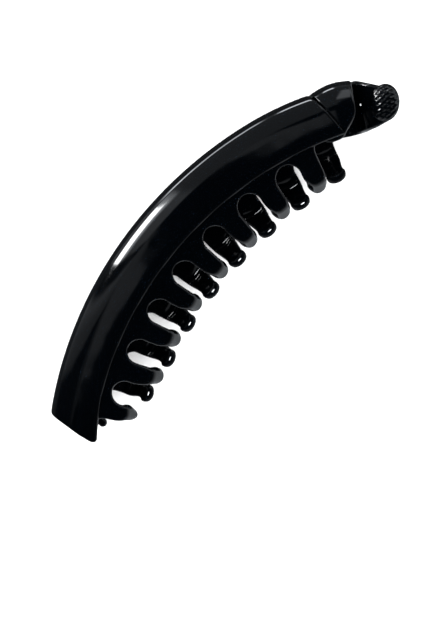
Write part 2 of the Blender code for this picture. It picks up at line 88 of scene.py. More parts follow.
# Seam end of a cover: its rounding and the share of the thickness left at the seam change
# from the first to the second value between two radii
SEAM_PLACE = (52.1, 118.0)
SEAM_SLANT = 0.045
SEAM_GAP = 0.3
SEAM_ROUND = (0.6, 1.2)
SEAM_LEFT = (0.45, 0.1)
SEAM_CHANGE = (132.0, 137.0)

# Hinge end of a cover
CUT_SLOPE = 0.155
CUT_POINT = (-78.7, 113.3)
CUT_SWEEP_START = 105.0
CUT_SWEEP = 0.022
CUT_CORNER_RADIUS = 2.2
CUT_ROUND = 1.0
CUT_LEFT = 0.4
FLARE_START, FLARE_END = np.radians([-31.0, -38.0])
FLARE_DEPTH = 1.1
FLARE_WIDTH = 5.0
FLARE_POWER = 1.1
HINGE_X = -71.3
RELIEF_SLOPE = np.tan(np.radians(35.0))

# Comb strip and the notches between its teeth
STRIP_LEVEL = 9.05
STRIP_HALF = 0.9
STRIP_OUTER = 131.2
STRIP_INNER = 122.9
STRIP_INSET = 0.9
STRIP_END_ANGLE = np.radians(24.4)
TOOTH_COUNT = 8
PITCH = np.radians(7.375)
TIP_HALF_THICKNESS = 1.45
STUB_RADIUS = 114.6
NOTCH_TOPS = (119.2, 119.0, 119.0, 119.2, 119.4, 119.9, 120.7)
NOTCH_SPLIT = np.radians(62.0)
SHOULDER_START = 117.0
SHOULDER_ROUND = 1.6

# Teeth. A pair is for a tooth's side towards the hinge and its side towards the clasp; the
# last arc and the rim are the edge past the last tooth.
FRONT_TEETH = {
    "side": FRONT,
    "first": -4.5,
    "first_trim": 1.1,
    "first_slant": 0.15,
    "tips": (109.0, 104.1, 103.8, 103.8, 103.8, 104.4, 105.5, 107.1),
    "end_height": 1.65,
    "bend": 2.2,
    "thickens": -1,
    "lean": np.radians(65.0),
    "slope": 0.03,
    "root": (3.4, 3.4),
    "neck_share": 0.3,
    "neck": ((2.8,) * TOOTH_COUNT, (3.4,) * TOOTH_COUNT),
    "head": 2.9,
    "flare": 5.0,
    "first_head": (2.5, 2.0),
    "round": (3.2, 1.5),
    "end_rim": 1.35,
    "last_arc": (STRIP_INNER, (np.radians(21.4),)),
    "rim": ((46.4, 111.6), (48.3, 110.6), (50.3, 109.9), (52.0, 110.2), (54.4, 111.9)),
}
BACK_TEETH = {
    "side": BACK,
    "first": -4.0,
    "first_trim": 0.0,
    "first_slant": 0.0,
    "tips": (105.7, 102.9, 102.4, 102.3, 102.7, 103.6, 105.1, 107.8),
    "end_height": -1.95,
    "bend": 5.0,
    "thickens": 1,
    "lean": np.radians(60.0),
    "slope": -0.03,
    "root": (4.5, 3.8),
    "neck_share": -1.1,
    "neck": ((2.4, 2.5, 2.7, 2.9, 3.1, 3.1, 3.1, 3.1), (3.0,) * TOOTH_COUNT),
    "head": 3.4,
    "flare": 3.2,
    "first_head": (3.2, 3.2),
    "round": (1.7, 1.7),
    "end_rim": 0.5,
    "last_arc": (STRIP_INNER - 0.3, ()),
    "rim": ((50.6, 110.9), (54.4, 111.9)),
}
FIRST_NECK_SHARE = 0.3
HEAD_RUN = 1.3

# Grid of a tooth's half
TIP_COLUMNS = 14
SIDE_COLUMNS = 24
CROWN_COLUMNS = 20
ARC_COLUMNS = 10
CROWN_RIM_COLUMNS = 8
SKELETON_FROM = 115.2
FAN_SHARE = 0.85
ROUND_SHARE = 0.92
END_ROUND = 1.2
STRIP_RIM = 0.6
RIM_LENGTH_SHARE = 0.8

# Painted highlights on the back teeth: small pale ribs across their inner faces paint highlight
# dashes, and pale marks on their ends paint glints
RIB_TEETH = (3, 4, 5, 6)
RIB_RADIUS = 111.6
RIB_ACROSS = 1.0
RIB_HALF_SIZES = (1.5, 0.15, 0.18)
MARKED_ENDS = (0, 1, 2, 3, 4, 5, 6)
END_MARK_ACROSS = 0.4
END_MARK_OFFSET = -0.9
END_MARK_HALF_SIZES = (0.7, 0.2, 0.18)

# Hinge
PIN_RADIUS = 1.5
PIN_HOLE_RADIUS = 1.8
PIN_START_Y = 96.0
PIN_END_Y = 111.0
PIN_DOME = 1.5
PIN_END_ROUND = 0.25
KNUCKLE_RADIUS = 3.3
KNUCKLE_ROUND = 1.2
KNUCKLE_SPANS = ((99.4, 102.4), (102.7, 106.5), (106.8, 109.9))
WEB_HALF_WIDTH = 2.0
WEB_INSET = 0.02
WEB_FOOT = 2.3
WEB_POWER = 0.28
RING_STEPS = 65

# Closed tip past the seam; a point of its outline counts as on the seam or the spine when it
# is nearer than TIP_NEAR
TIP_CORNERS = (
    (54.6, 111.2), (57.2, 112.0), (58.7, 112.9), (59.8, 114.3), (61.3, 116.7), (63.1, 119.2),
    (64.4, 120.5), (64.5, 121.1),
)
TIP_HOLLOW = (
    (54.5, 113.2), (56.4, 113.8), (58.1, 115.4), (59.4, 117.6), (61.0, 120.2), (58.87, 120.71),
    (56.8, 121.7), (54.6, 122.7),
)
TIP_SEAM_LOW = 110.6
TIP_LAST_ANGLE = np.radians(27.8)
TIP_BULGE = 0.95
TIP_BULGE_SPAN = (np.radians(22.6), np.radians(28.2))
TIP_FOLD = ((52.4, 112.4), (55.5, 118.5))
TIP_FOLD_SLOPE = 0.09
TIP_FOLD_SOFT = 0.8
TIP_ROOF = 9.0
TIP_MIDDLE = (57.3, 118.6)
TIP_ROUND = 1.1
TIP_SEAM_ROUND = 0.2
TIP_SPINE_ROUND = 0.05
TIP_LEAST_FILLET = 0.35
TIP_LEAST_WALL = 0.6
TIP_LEAST_FACING = 0.5
TIP_NEAR = 0.5
TIP_POINTS = 360
HOLLOW_POINTS = 200
SEAM_MIDDLE_RADIUS = 124.0

# Tongue and knob of the back arm; a place there is its run along the tongue, its radius and
# its height
TONGUE_ANGLE = np.radians(27.9)
TONGUE_STATIONS = (
    # along, height, low radius, high radius, thickness
    (-5.2, -10.7, 120.9, 132.2, 1.7),
    (-1.4, -10.7, 120.5, 133.6, 1.7),
    (0.9, -10.0, 120.4, 135.3, 2.0),
    (2.2, -8.0, 120.4, 137.1, 2.2),
    (2.6, -5.0, 120.4, 137.3, 2.2),
    (2.9, -1.5, 120.5, 137.0, 2.2),
    (3.7, 1.4, 120.7, 136.3, 2.3),
    (5.3, 3.6, 120.9, 135.2, 2.5),
    (7.4, 4.7, 121.4, 134.0, 2.7),
    (9.4, 5.0, 121.9, 132.8, 2.7),
    (11.4, 5.1, 122.9, 131.4, 2.5),
    (12.7, 5.1, 124.6, 130.0, 2.0),
)
TONGUE_RIM = 1.0
TONGUE_STEPS = 110
# The nib is made in the pale colour: a painted highlight dot on the tongue.
NIB_PLACE = (2.45, 129.2, 0.9)
NIB_RADIUS = 0.45
KNOB_PLACE = (9.1, 127.5, 5.4)
KNOB_HALF_SIZES = (4.6, 5.85, 3.0)
KNOB_TURN = np.radians(-17.0)
RIDGE_PITCH = 1.3
RIDGE_DEPTH = 0.3
RIDGE_FADE_START = 0.1
RIDGE_FADE_RUN = 0.5
BEAD_PITCH = 1.9
BEAD_SLANT = 0.7
BEAD_SHARE = 0.4

# Black plastic: places of its patterns for a seed, tones of its cloud, ends of its gloss
SEED_STEP = (0.37, 0.21, 0.13)
CLOUD_TONES = (0.7, 1.5)
CLOUD_NOISE = (55.0, 3.0)
GLOSS_SHARES = (0.75, 1.35)
GLOSS_NOISE = (260.0, 4.0)
BUMPS = (
    # scale and detail of the noise, strength and depth in metres: mould waves, rub marks
    (90.0, 1.0, 0.10, 0.0008),
    (2400.0, 3.0, 0.05, 0.00002),
)
PLASTIC_IOR = 1.5
FLOOR_NOISE = (3.0, 2.0)
FLOOR_TONE = 0.995
# Sockets of Blender's mix node where it mixes colours
MIX_SHARE, MIX_FIRST, MIX_SECOND, MIX_RESULT = 0, 6, 7, 2

# Camera as fitted to the photograph
CAMERA_PLACE = (19.785, 11.946, 322.0)
CAMERA_VIEW = (-0.1151, -0.0903, -0.9892)
CAMERA_UP = (0.6919, 0.7073, -0.1450)
CAMERA_LENS = 53.93
CAMERA_SENSOR = 36.0
CAMERA_NEAR = 0.01

COVE_START = 2.2
COVE_BEND = 0.8
COVE_TOP = 2.4
LAMPS = (
    # name, direction, distance, width, height, radiance, mirrored by the gloss
    ("ceiling", (0.0, 0.0, 1.0), 2.5, 4.0, 4.0, 4.2, False),
    ("window", (-0.236, 0.934, 0.27), 1.2, 0.307, 0.50, 25.0, True),
)

# What the gloss mirrors besides the window. Stops are (degrees towards +X from straight back,
# level). A mask is (axis of the direction, start, end, low, high): it goes smoothly from low
# at the start to high at the end, from 0 to 1 where they are left out.
TURN_REACH = np.radians(120.0)
WALL_STOPS = (
    (-45.0, 0.01), (-42.0, 0.24), (-36.0, 0.28), (-32.0, 0.40), (-29.5, 0.50), (-27.0, 0.03),
    (-21.5, 0.03), (-20.5, 0.60), (-5.0, 0.60), (-1.0, 0.25), (30.0, 0.22), (55.0, 0.22),
    (65.0, 0.01), (115.0, 0.01),
)
SIDE_STOPS = ((60.0, 0.0), (66.0, 1.0), (100.0, 1.0), (114.0, 0.0))
PANEL_STOPS = ((45.0, 0.0), (48.0, 1.0), (60.0, 1.0), (63.0, 0.0))
GLOW_STOPS = ((-21.5, 0.0), (-20.0, 1.0), (-7.0, 1.0), (-3.0, 0.0))
LINE_STOPS = (
    (-6.0, 0.0), (-3.0, 1.0), (0.0, 1.0), (6.0, 0.7), (18.0, 0.7), (20.0, 0.0), (23.0, 0.0),
    (24.5, 1.0), (37.0, 1.0), (39.0, 0.0),
)
WALLS = (
    # back wall, side wall, panel beside the clasp, window's glow, line low behind the spine
    (WALL_STOPS, ((Z, -0.35, -0.2), (Z, 0.945, 0.90))),
    (SIDE_STOPS, ((Z, 0.6, 0.5), (Z, -0.05, 0.05))),
    (PANEL_STOPS, ((Z, 0.8, 0.7, 0.0, 1.2), (Z, 0.2, 0.3))),
    (GLOW_STOPS, ((Z, 0.66, 0.48, 0.0, 4.5), (Z, 0.0, 0.1))),
    (LINE_STOPS, ((Z, -0.20, -0.16, 0.0, 10.0), (Z, -0.04, -0.08))),
)
OVERHEAD_GAP = ((X, -0.105, -0.14), (X, 0.035, 0.07))
OVERHEAD = ((Z, 0.90, 0.945), (Y, -0.052, -0.036), (X, -0.30, -0.22, 0.08, 0.3), (X, 0.165, 0.14))
TABLE = ((Z, 0.5, -0.4, 0.0, 0.6), (Y, 0.05, -0.20))
BELOW = ((Z, 0.0, -0.12, 0.0, 0.07), (Y, -0.20, 0.05))
BASE_LEVEL = 0.002
SURROUNDINGS_TINT = (0.95, 1.0, 1.05, 1.0)


class ClipFinish(bpy.types.PropertyGroup):
    """Colours and gloss of the clip."""

    plastic: FloatVectorProperty(
        name="Plastic", description="Colour of the black plastic", subtype="COLOR", size=4,
        min=0.0, max=1.0, default=(0.0002, 0.0004, 0.0007, 1.0),
    )
    roughness: FloatProperty(
        name="Roughness", description="How much the gloss is blurred", subtype="FACTOR",
        min=0.0, max=1.0, default=0.07,
    )
    ridge_depth: FloatProperty(
        name="Ridge depth", description="Depth of the thumb knob's ridges in millimetres",
        min=0.0, max=0.3, default=RIDGE_DEPTH,
    )
    # This pale colour paints highlights: the ribs, the marks on the teeth's ends and the nib are
    # coloured with it as painted glints.
    painted_glint_colour: FloatVectorProperty(
        name="Painted glint", description="Colour of the plastic where it is rubbed pale",
        subtype="COLOR", size=4, min=0.0, max=1.0, default=(0.6, 0.62, 0.64, 1.0),
    )


class ClipStage(bpy.types.PropertyGroup):
    """Colours and light of the stage."""

    floor: FloatVectorProperty(
        name="Floor", description="Colour of the floor", subtype="COLOR", size=4,
        min=0.0, max=1.0, default=(0.9, 0.9, 0.9, 1.0),
    )
    lens: FloatProperty(
        name="Lens", description="Focal length of the camera", subtype="DISTANCE_CAMERA",
        unit="CAMERA", min=10.0, max=200.0, default=CAMERA_LENS,
    )


# --- Plan geometry ---------------------------------------------------------------------------


def plan(radius, angle):
    """Plan place of a radius and an angle along the arc: radius times sine and cosine."""
    return np.stack([radius * np.sin(angle), radius * np.cos(angle)], -1)


def turned(points, angle):
    """Plan points seen from a frame that is turned along the arc by this angle."""
    x, y = points[..., 0], points[..., 1]
    return np.stack(
        [x * np.cos(angle) - y * np.sin(angle), x * np.sin(angle) + y * np.cos(angle)], -1
    )


def cut_angle(radius, inset=0.0):
    """Angle where an arc of this radius meets the line of the hinge end, which is slanted and
    sweeps outwards near the spine: x comes from y and y from x, a few times over."""
    y = np.full_like(np.asarray(radius, float), CUT_SWEEP_START)
    for _ in range(14):
        past = np.maximum(y - CUT_SWEEP_START, 0.0)
        x = CUT_POINT[0] + inset + CUT_SLOPE * (CUT_POINT[1] - y) - CUT_SWEEP * past**2
        y = np.sqrt(radius**2 - x**2)
    return np.arctan2(x, y)


def seam_x(y):
    """Plan x of the seam, a slightly slanted line."""
    return SEAM_PLACE[0] + SEAM_SLANT * (y - SEAM_PLACE[1])


def seam_angle(radius):
    """Angle where an arc of this radius meets the seam: y is put in from x a few times over."""
    y = np.full_like(np.asarray(radius, float), SEAM_PLACE[1])
    for _ in range(8):
        y = np.sqrt(radius**2 - seam_x(y)**2)
    return np.arctan2(seam_x(y), y)


def eased(place, knots, values):
    """Values joined from knot to knot by smooth steps 3t**2 - 2t**3."""
    at = np.interp(place, knots, np.arange(len(knots)))
    left = np.minimum(np.floor(at).astype(int), len(knots) - 2)
    share = at - left
    values = np.asarray(values, float)
    return values[left] + (values[left + 1] - values[left]) * share**2 * (3.0 - 2.0 * share)


def spine_draw(angle):
    """How far the spine is drawn in at an angle: the full depth times the square of the run
    past its start, less a bulge over the tip that follows half a sine wave."""
    share = np.clip((angle - DRAW_START) / (DRAW_FULL - DRAW_START), 0.0, 1.0)**2
    start, end = TIP_BULGE_SPAN
    return DRAW_DEPTH * share - TIP_BULGE * np.sin(
        np.pi * np.clip((angle - start) / (end - start), 0.0, 1.0)
    )


def drawn_in(points):
    """Points with the spine drawn in towards the clasp: the radius loses the full depth at
    the spine and less and less down to the tooth edge."""
    x, y = points[..., 0], points[..., 1]
    radius = np.hypot(x, y)
    reach = np.clip((radius - COVER_LOW_RADIUS) / (SPINE_RADIUS - COVER_LOW_RADIUS), 0.0, 1.0)
    keep = 1.0 - spine_draw(np.arctan2(x, y)) * reach / radius
    return np.stack([x * keep, y * keep, points[..., 2]], -1)


def run_along(path):
    """Length from the start of a chain of points to each of its points."""
    steps = np.linalg.norm(np.diff(path, axis=0), axis=1)
    return np.concatenate([[0.0], np.cumsum(steps)])


def spaced(path, count):
    """Points at equal steps along a chain of points, both ends included."""
    path = np.asarray(path, float)
    run = run_along(path)
    at = np.linspace(0.0, run[-1], count)
    return np.stack([np.interp(at, run, column) for column in path.T], -1)


def softened(path, rounds=3):
    """A chain of points with its corners cut at a quarter of each side, a few times over."""
    path = np.asarray(path, float)
    for _ in range(rounds):
        near = 0.75 * path[:-1] + 0.25 * path[1:]
        far = 0.25 * path[:-1] + 0.75 * path[1:]
        inner = np.stack([near, far], 1).reshape(-1, path.shape[1])
        path = np.concatenate([path[:1], inner, path[-1:]])
    return path


def rim_share(distance, radius):
    """Share of the full thickness at a distance from a rim: a quarter ellipse up to radius."""
    run = np.clip(distance / radius, 0.0, 1.0)
    return np.sqrt(np.maximum(1.0 - (1.0 - run)**2, 0.0))


def rim_rows(radius, count):
    """Distances from a rim that follow a quarter circle evenly: radius times 1 - cosine."""
    return radius * (1.0 - np.cos(np.linspace(0.0, np.pi / 2, count)))


def unit(vectors):
    """Vectors at length one."""
    return vectors / np.linalg.norm(vectors, axis=-1, keepdims=True)


def raised(flat, height):
    """Plan points with a height as their third coordinate."""
    return np.concatenate([flat, height[..., None]], -1)


def ball(rows, columns):
    """A sphere of radius one as three grids: the axis through its poles, cos(a), and the two
    axes across it, sin(a) cos(b) and sin(a) sin(b)."""
    low = np.linspace(0.0, np.pi, rows)[:, None]
    turn = np.linspace(0.0, 2 * np.pi, columns)
    pole = np.cos(low) * np.ones_like(turn)
    return pole, np.sin(low) * np.cos(turn), np.sin(low) * np.sin(turn)


# --- From grids to pieces --------------------------------------------------------------------


def skin(middle, half):
    """Both sides of a sheet: middle plus and minus the half thickness vector, and a ladder of
    faces on its first and its last row."""
    top = middle + half
    bottom = middle - half
    return [top, bottom, np.stack([top[0], bottom[0]]), np.stack([top[-1], bottom[-1]])]


def grid_faces(rows, columns, start):
    """Four-sided faces of a grid of points, numbered from start."""
    number = start + np.arange(rows * columns).reshape(rows, columns)
    corners = (number[:-1, :-1], number[:-1, 1:], number[1:, 1:], number[1:, :-1])
    return np.stack(corners, -1).reshape(-1, 4)


def make_piece(name, grids, material, body, node, side=FRONT):
    """A piece from grids of points in millimetres: its seams are merged, its faces turned
    outwards, and it rides on its body in place of its CAD solid."""
    points = []
    faces = []
    start = 0
    for grid in grids:
        rows, columns = grid.shape[:2]
        points.append(grid.reshape(-1, 3))
        faces.append(grid_faces(rows, columns, start))
        start += rows * columns
    points = np.concatenate(points) * np.array([1.0, 1.0, side])
    points = (points + CENTRE) * MM
    mesh = bpy.data.meshes.new(name)
    mesh.from_pydata(points.tolist(), [], np.concatenate(faces).tolist())
    bm = bmesh.new()
    bm.from_mesh(mesh)
    bmesh.ops.remove_doubles(bm, verts=bm.verts[:], dist=MERGE_DISTANCE * MM)
    bmesh.ops.dissolve_degenerate(bm, edges=bm.edges[:], dist=MERGE_DISTANCE / 2 * MM)
    bmesh.ops.recalc_face_normals(bm, faces=bm.faces[:])
    bm.to_mesh(mesh)
    bm.free()
    mesh.shade_smooth()
    mesh.materials.append(material)
    made = bpy.data.objects.new(name, mesh)
    bpy.context.scene.collection.objects.link(made)
    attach(made, body)
    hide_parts(node)


# --- Cover -----------------------------------------------------------------------------------


def cover_skin_point(run, wall):
    """Radius and height of the section at a run in millimetres: the back wall for run below
    0, then a quarter ellipse for CORNER_RUN, then a slight crown that falls with the fourth
    power of the way to the tooth edge. wall is how far inside the outer side the point lies."""
    turn = np.clip(run / CORNER_RUN, 0.0, 1.0) * np.pi / 2
    radius = SPINE_RADIUS - CORNER_WIDTH + (CORNER_WIDTH - wall) * np.cos(turn)
    height = CORNER_START + (COVER_TOP - CORNER_START - wall) * np.sin(turn)
    past = np.maximum(run - CORNER_RUN, 0.0)
    radius = radius - past
    height = height + np.minimum(run, 0.0) - CROWN * (past / FLAT_RUN)**4
    return radius, height


def edge_drop(distance, width, drop):
    """Fall of a surface at a distance from its rounded edge: a quarter ellipse."""
    return drop * (1.0 - rim_share(distance, width))


def foot_run(angle, wall):
    """Run where the section meets the foot line, which climbs past the hinge so that the
    ends pass each other: the height is put into the ellipse and solved a few times over."""
    run = np.full_like(angle, FOOT - CORNER_START)
    for _ in range(8):
        radius, _ = cover_skin_point(run, wall)
        height = FOOT + np.maximum(HINGE_X - radius * np.sin(angle), 0.0) * RELIEF_SLOPE
        lift = (height - CORNER_START) / (COVER_TOP - CORNER_START - wall)
        climbed = np.arcsin(np.clip(lift, 0.0, 0.999)) / (np.pi / 2) * CORNER_RUN
        run = np.where(height < CORNER_START, height - CORNER_START, climbed)
    return run


def cover_grids():
    """One cover: its section carried along the arc from the slanted hinge end to the seam.
    The sheet's middle is halfway between the outer and inner side of the section, and its
    half thickness falls to nothing in a quarter ellipse at the foot, and to a share of itself
    at both ends. The tooth edge is rounded by a quarter ellipse from each side."""
    end_rows = rim_rows(COVER_END_REACH, 7)
    middle_rows = np.linspace(COVER_END_REACH, COVER_LENGTH - COVER_END_REACH, COVER_STEPS_ALONG)
    along = np.concatenate([end_rows, middle_rows[1:-1], COVER_LENGTH - end_rows[::-1]])
    along = along / COVER_LENGTH
    foot_rows = rim_rows(FOOT_ROUND, 7)
    edge_rows = rim_rows(EDGE_ROUND_WIDTH, 12)[::-1]
    body_share = np.linspace(0.0, 1.0, COVER_STEPS_ACROSS)[1:-1]

    hinge_end, seam_end = cut_angle(SPINE_RADIUS), seam_angle(SPINE_RADIUS)
    guide = hinge_end + along * (seam_end - hinge_end)
    outer_foot = foot_run(guide, 0.0)[:, None]
    inner_foot = foot_run(guide, COVER_WALL)[:, None]
    full_run = CORNER_RUN + FLAT_RUN
    body_start = outer_foot + FOOT_ROUND
    body = body_start + (full_run - EDGE_ROUND_WIDTH - body_start) * body_share
    edge = np.broadcast_to(full_run - edge_rows, (len(along), len(edge_rows)))
    outer_run = np.concatenate([outer_foot + foot_rows, body, edge], 1)
    from_edge = full_run - outer_run
    fade = np.clip(from_edge / (full_run - outer_foot), 0.0, 1.0)**2
    inner_run = outer_run + (inner_foot - outer_foot) * fade
    outer_radius, outer_height = cover_skin_point(outer_run, 0.0)
    inner_radius, inner_height = cover_skin_point(inner_run, COVER_WALL)
    outer_height = outer_height - edge_drop(from_edge, EDGE_ROUND_WIDTH, EDGE_ROUND_DROP)
    inner_height = inner_height + edge_drop(from_edge, INNER_EDGE_ROUND, INNER_EDGE_ROUND)

    foot_share = rim_share(outer_run - outer_foot, FOOT_ROUND)
    seam_half = (along > 0.5)[:, None]
    end_round = np.where(seam_half, np.interp(outer_radius, SEAM_CHANGE, SEAM_ROUND), CUT_ROUND)
    left = np.where(seam_half, np.interp(outer_radius, SEAM_CHANGE, SEAM_LEFT), CUT_LEFT)
    from_end = np.minimum(along, 1.0 - along)[:, None] * COVER_LENGTH
    end_share = left + (1.0 - left) * rim_share(from_end, end_round)
    near_edge = np.clip(1.0 - from_edge / FLARE_WIDTH, 0.0, 1.0)

    def placed(radius, height):
        start = cut_angle(radius)
        near = np.clip(CUT_CORNER_RADIUS - (radius - COVER_LOW_RADIUS), 0.0, CUT_CORNER_RADIUS)
        start = start + (CUT_CORNER_RADIUS - np.sqrt(CUT_CORNER_RADIUS**2 - near**2)) / radius
        angle = start + (seam_angle(radius) - start) * along[:, None]
        flare = np.clip((FLARE_START - angle) / (FLARE_START - FLARE_END), 0.0, 1.0)
        radius = radius - FLARE_DEPTH * flare**FLARE_POWER * near_edge
        return raised(plan(radius, angle), height)

    outer = placed(outer_radius, outer_height)
    inner = placed(inner_radius, inner_height)
    half = (outer - inner) / 2 * (foot_share * end_share)[..., None]
    return [drawn_in(grid) for grid in skin((outer + inner) / 2, half)]


# --- Comb ------------------------------------------------------------------------------------


def tooth_angle(teeth, index):
    """Angle of a tooth's middle; the first one is trimmed on the hinge's side."""
    shift = teeth["first_trim"] / 2 / STUB_RADIUS if index == 0 else 0.0
    return (teeth["first"] + index) * PITCH + shift


def root_half_width(teeth, index, hand):
    """Half width of a tooth at its root, on the hinge's side (-1) or the clasp's side (1)."""
    return teeth["root"][int(hand > 0)] - (teeth["first_trim"] / 2 if index == 0 else 0.0)


def tooth_run(teeth, index):
    """Flat radii where the bend starts, where it ends and of the tip, as if the tooth were
    straightened. The slope past the bend is what the arc leaves of the fall, over the sine of
    the lean, and the bend starts so far out that the bent end reaches the tip's radius."""
    bend, lean = teeth["bend"], teeth["lean"]
    fall = STRIP_LEVEL - bend * (1.0 - np.cos(lean)) - teeth["end_height"]
    slope = fall / np.sin(lean)
    outside = TIP_HALF_THICKNESS + teeth["thickens"] * (TIP_HALF_THICKNESS - STRIP_HALF)
    reach = (outside + bend) * np.sin(lean) + slope * np.cos(lean)
    bend_from = teeth["tips"][index] + reach
    bend_to = bend_from - bend * lean
    return bend_from, bend_to, bend_to - slope


def half_thickness(teeth, index, flat_radius):
    """Half thickness along the straightened tooth, from the head up to the strip."""
    bend_from, bend_to, end = tooth_run(teeth, index)
    middle = (STRIP_HALF + TIP_HALF_THICKNESS) / 2
    knots = (end, bend_to, (bend_from + bend_to) / 2, STUB_RADIUS)
    return eased(flat_radius, knots, (TIP_HALF_THICKNESS, TIP_HALF_THICKNESS, middle, STRIP_HALF))


def half_width(teeth, index, hand, flat_radius):
    """Half width along the straightened tooth: the head, the neck behind it, the root."""
    bend_from, bend_to, end = tooth_run(teeth, index)
    head, neck = teeth["head"], teeth["neck"][int(hand > 0)][index]
    if index == 0:
        head = teeth["first_head"][int(hand > 0)]
        neck = min(neck, neck + FIRST_NECK_SHARE * (head - neck))
    start = bend_to + teeth["neck_share"] * (bend_from - bend_to)
    knots = (end, end + HEAD_RUN, min(end + teeth["flare"], start - 0.1), start, STUB_RADIUS)
    widths = (head, head, neck, neck, root_half_width(teeth, index, hand))
    return eased(flat_radius, knots, widths)


def set_back(depth, share):
    """How far a rounded end lies back at a share of the half width: depth times one minus a
    quarter ellipse that is cut off just short of its upright end."""
    return depth * (1.0 - np.sqrt(1.0 - ROUND_SHARE * np.clip(share, 0.0, 1.0)**2))


def notch_edge(gap, top, root, hand, start, end, count):
    """Points of a notch's round end as turns from the tooth's side (0) to its top (90
    degrees); hand is 1 beside the tooth before it and -1 beside the tooth after it."""
    half = (top * PITCH / 2 - root) / (1 + PITCH / 2)
    turn = np.linspace(start, end, count)
    across = -hand * half * np.cos(turn)
    outward = top - half + half * np.sin(turn)
    return turned(np.stack([across, outward], -1), -gap)


def crown_edges(teeth, index, hand):
    """The free edge above a tooth's side in plan, in two stretches: beside the tooth's
    middle line and beside the strip's outer arc; and the angle where the outer arc ends."""
    gap_index = index if hand > 0 else index - 1
    angle = tooth_angle(teeth, index)
    half = root_half_width(teeth, index, hand)
    if 0 <= gap_index < TOOTH_COUNT - 1:
        gap = (teeth["first"] + gap_index + 0.5) * PITCH
        top, root = NOTCH_TOPS[gap_index], teeth["root"][int(hand > 0)]
        near = notch_edge(gap, top, root, hand, 0.0, NOTCH_SPLIT, 60)
        far = notch_edge(gap, top, root, hand, NOTCH_SPLIT, np.pi / 2, 60)
        return near, far, gap
    flare = SHOULDER_ROUND * teeth["root"][1] / STRIP_INNER
    shoulder = [(hand * half, SHOULDER_START), (hand * half, STRIP_INNER - SHOULDER_ROUND)]
    start = turned(np.array(shoulder), -angle)
    if hand < 0:
        inner_end = cut_angle(STRIP_INNER, STRIP_INSET)
        arc = plan(STRIP_INNER, np.linspace(angle - flare, inner_end, 24))
        near = np.concatenate([start, arc[:2]])
        far = arc[1:]
        end = cut_angle(STRIP_OUTER, STRIP_INSET)
    else:
        radius, further = teeth["last_arc"]
        near = np.concatenate([start, plan(radius, np.array([angle + flare, *further]))])
        far = np.concatenate([near[-1:], teeth["rim"]])
        end = STRIP_END_ANGLE
    whole = softened(np.concatenate([near[:-1], far]), 4)
    corner = int(np.argmin(np.linalg.norm(whole - far[0], axis=1)))
    return whole[:corner + 1], whole[corner:], end


def half_cell(teeth, index, hand):
    """Half of a tooth with the strip above it, laid out flat: lines run from the free edge
    (tip, side, notch) to a skeleton (the tooth's middle line, then the strip's outer arc).
    Returns edge points and skeleton points in the tooth's own frame, how far the rim's
    rounding reaches at each of them, and how many of the last columns end on the outer arc."""
    angle = tooth_angle(teeth, index)
    _, _, tip_end = tooth_run(teeth, index)
    near, far, arc_end = crown_edges(teeth, index, hand)
    near = turned(near, angle)
    far = turned(far, angle)
    across_share = np.sin(np.linspace(0.0, np.pi / 2, TIP_COLUMNS))
    tip_y = tip_end + set_back(teeth["round"][int(hand > 0)] + END_ROUND, across_share)
    tip_x = hand * across_share * half_width(teeth, index, hand, tip_y)
    side_y = np.linspace(tip_y[-1], near[0, 1], SIDE_COLUMNS)
    side_x = hand * half_width(teeth, index, hand, side_y)
    side_x[-1] = near[0, 0]
    long_arc = index in (0, TOOTH_COUNT - 1) and abs(arc_end - angle) > PITCH * 0.6
    arc_columns = ARC_COLUMNS * (5 if long_arc else 1)
    edge = np.concatenate([
        np.stack([tip_x, tip_y], -1), np.stack([side_x, side_y], -1)[1:],
        spaced(near, CROWN_COLUMNS)[1:], spaced(far, arc_columns)[1:],
    ])

    fan_depth = set_back(max(teeth["round"]) + END_ROUND, 1.0)
    fan = tip_end + np.linspace(fan_depth * FAN_SHARE, fan_depth, TIP_COLUMNS)
    straight = np.linspace(tip_end + fan_depth, SKELETON_FROM, SIDE_COLUMNS)[1:]
    up = np.linspace(SKELETON_FROM, STRIP_OUTER, CROWN_COLUMNS)[1:]
    middle_line = np.concatenate([fan, straight, up])
    middle_line = np.stack([np.zeros_like(middle_line), middle_line], -1)
    arc = turned(plan(STRIP_OUTER, np.linspace(angle, arc_end, arc_columns)[1:]), angle)
    skeleton = np.concatenate([middle_line, arc])

    strip_rim = 1.0 if (index, hand) == (TOOTH_COUNT - 1, 1) else STRIP_RIM
    side_rim = 0.8 * teeth["end_rim"] + 0.2
    left = len(edge) - TIP_COLUMNS - SIDE_COLUMNS + 1 - CROWN_RIM_COLUMNS
    rim = np.concatenate([
        np.linspace(teeth["end_rim"], side_rim, TIP_COLUMNS),
        np.linspace(side_rim, 1.0, SIDE_COLUMNS)[1:],
        np.linspace(1.0, strip_rim, CROWN_RIM_COLUMNS), np.full(left, strip_rim),
    ])
    return edge, skeleton, rim, arc_columns


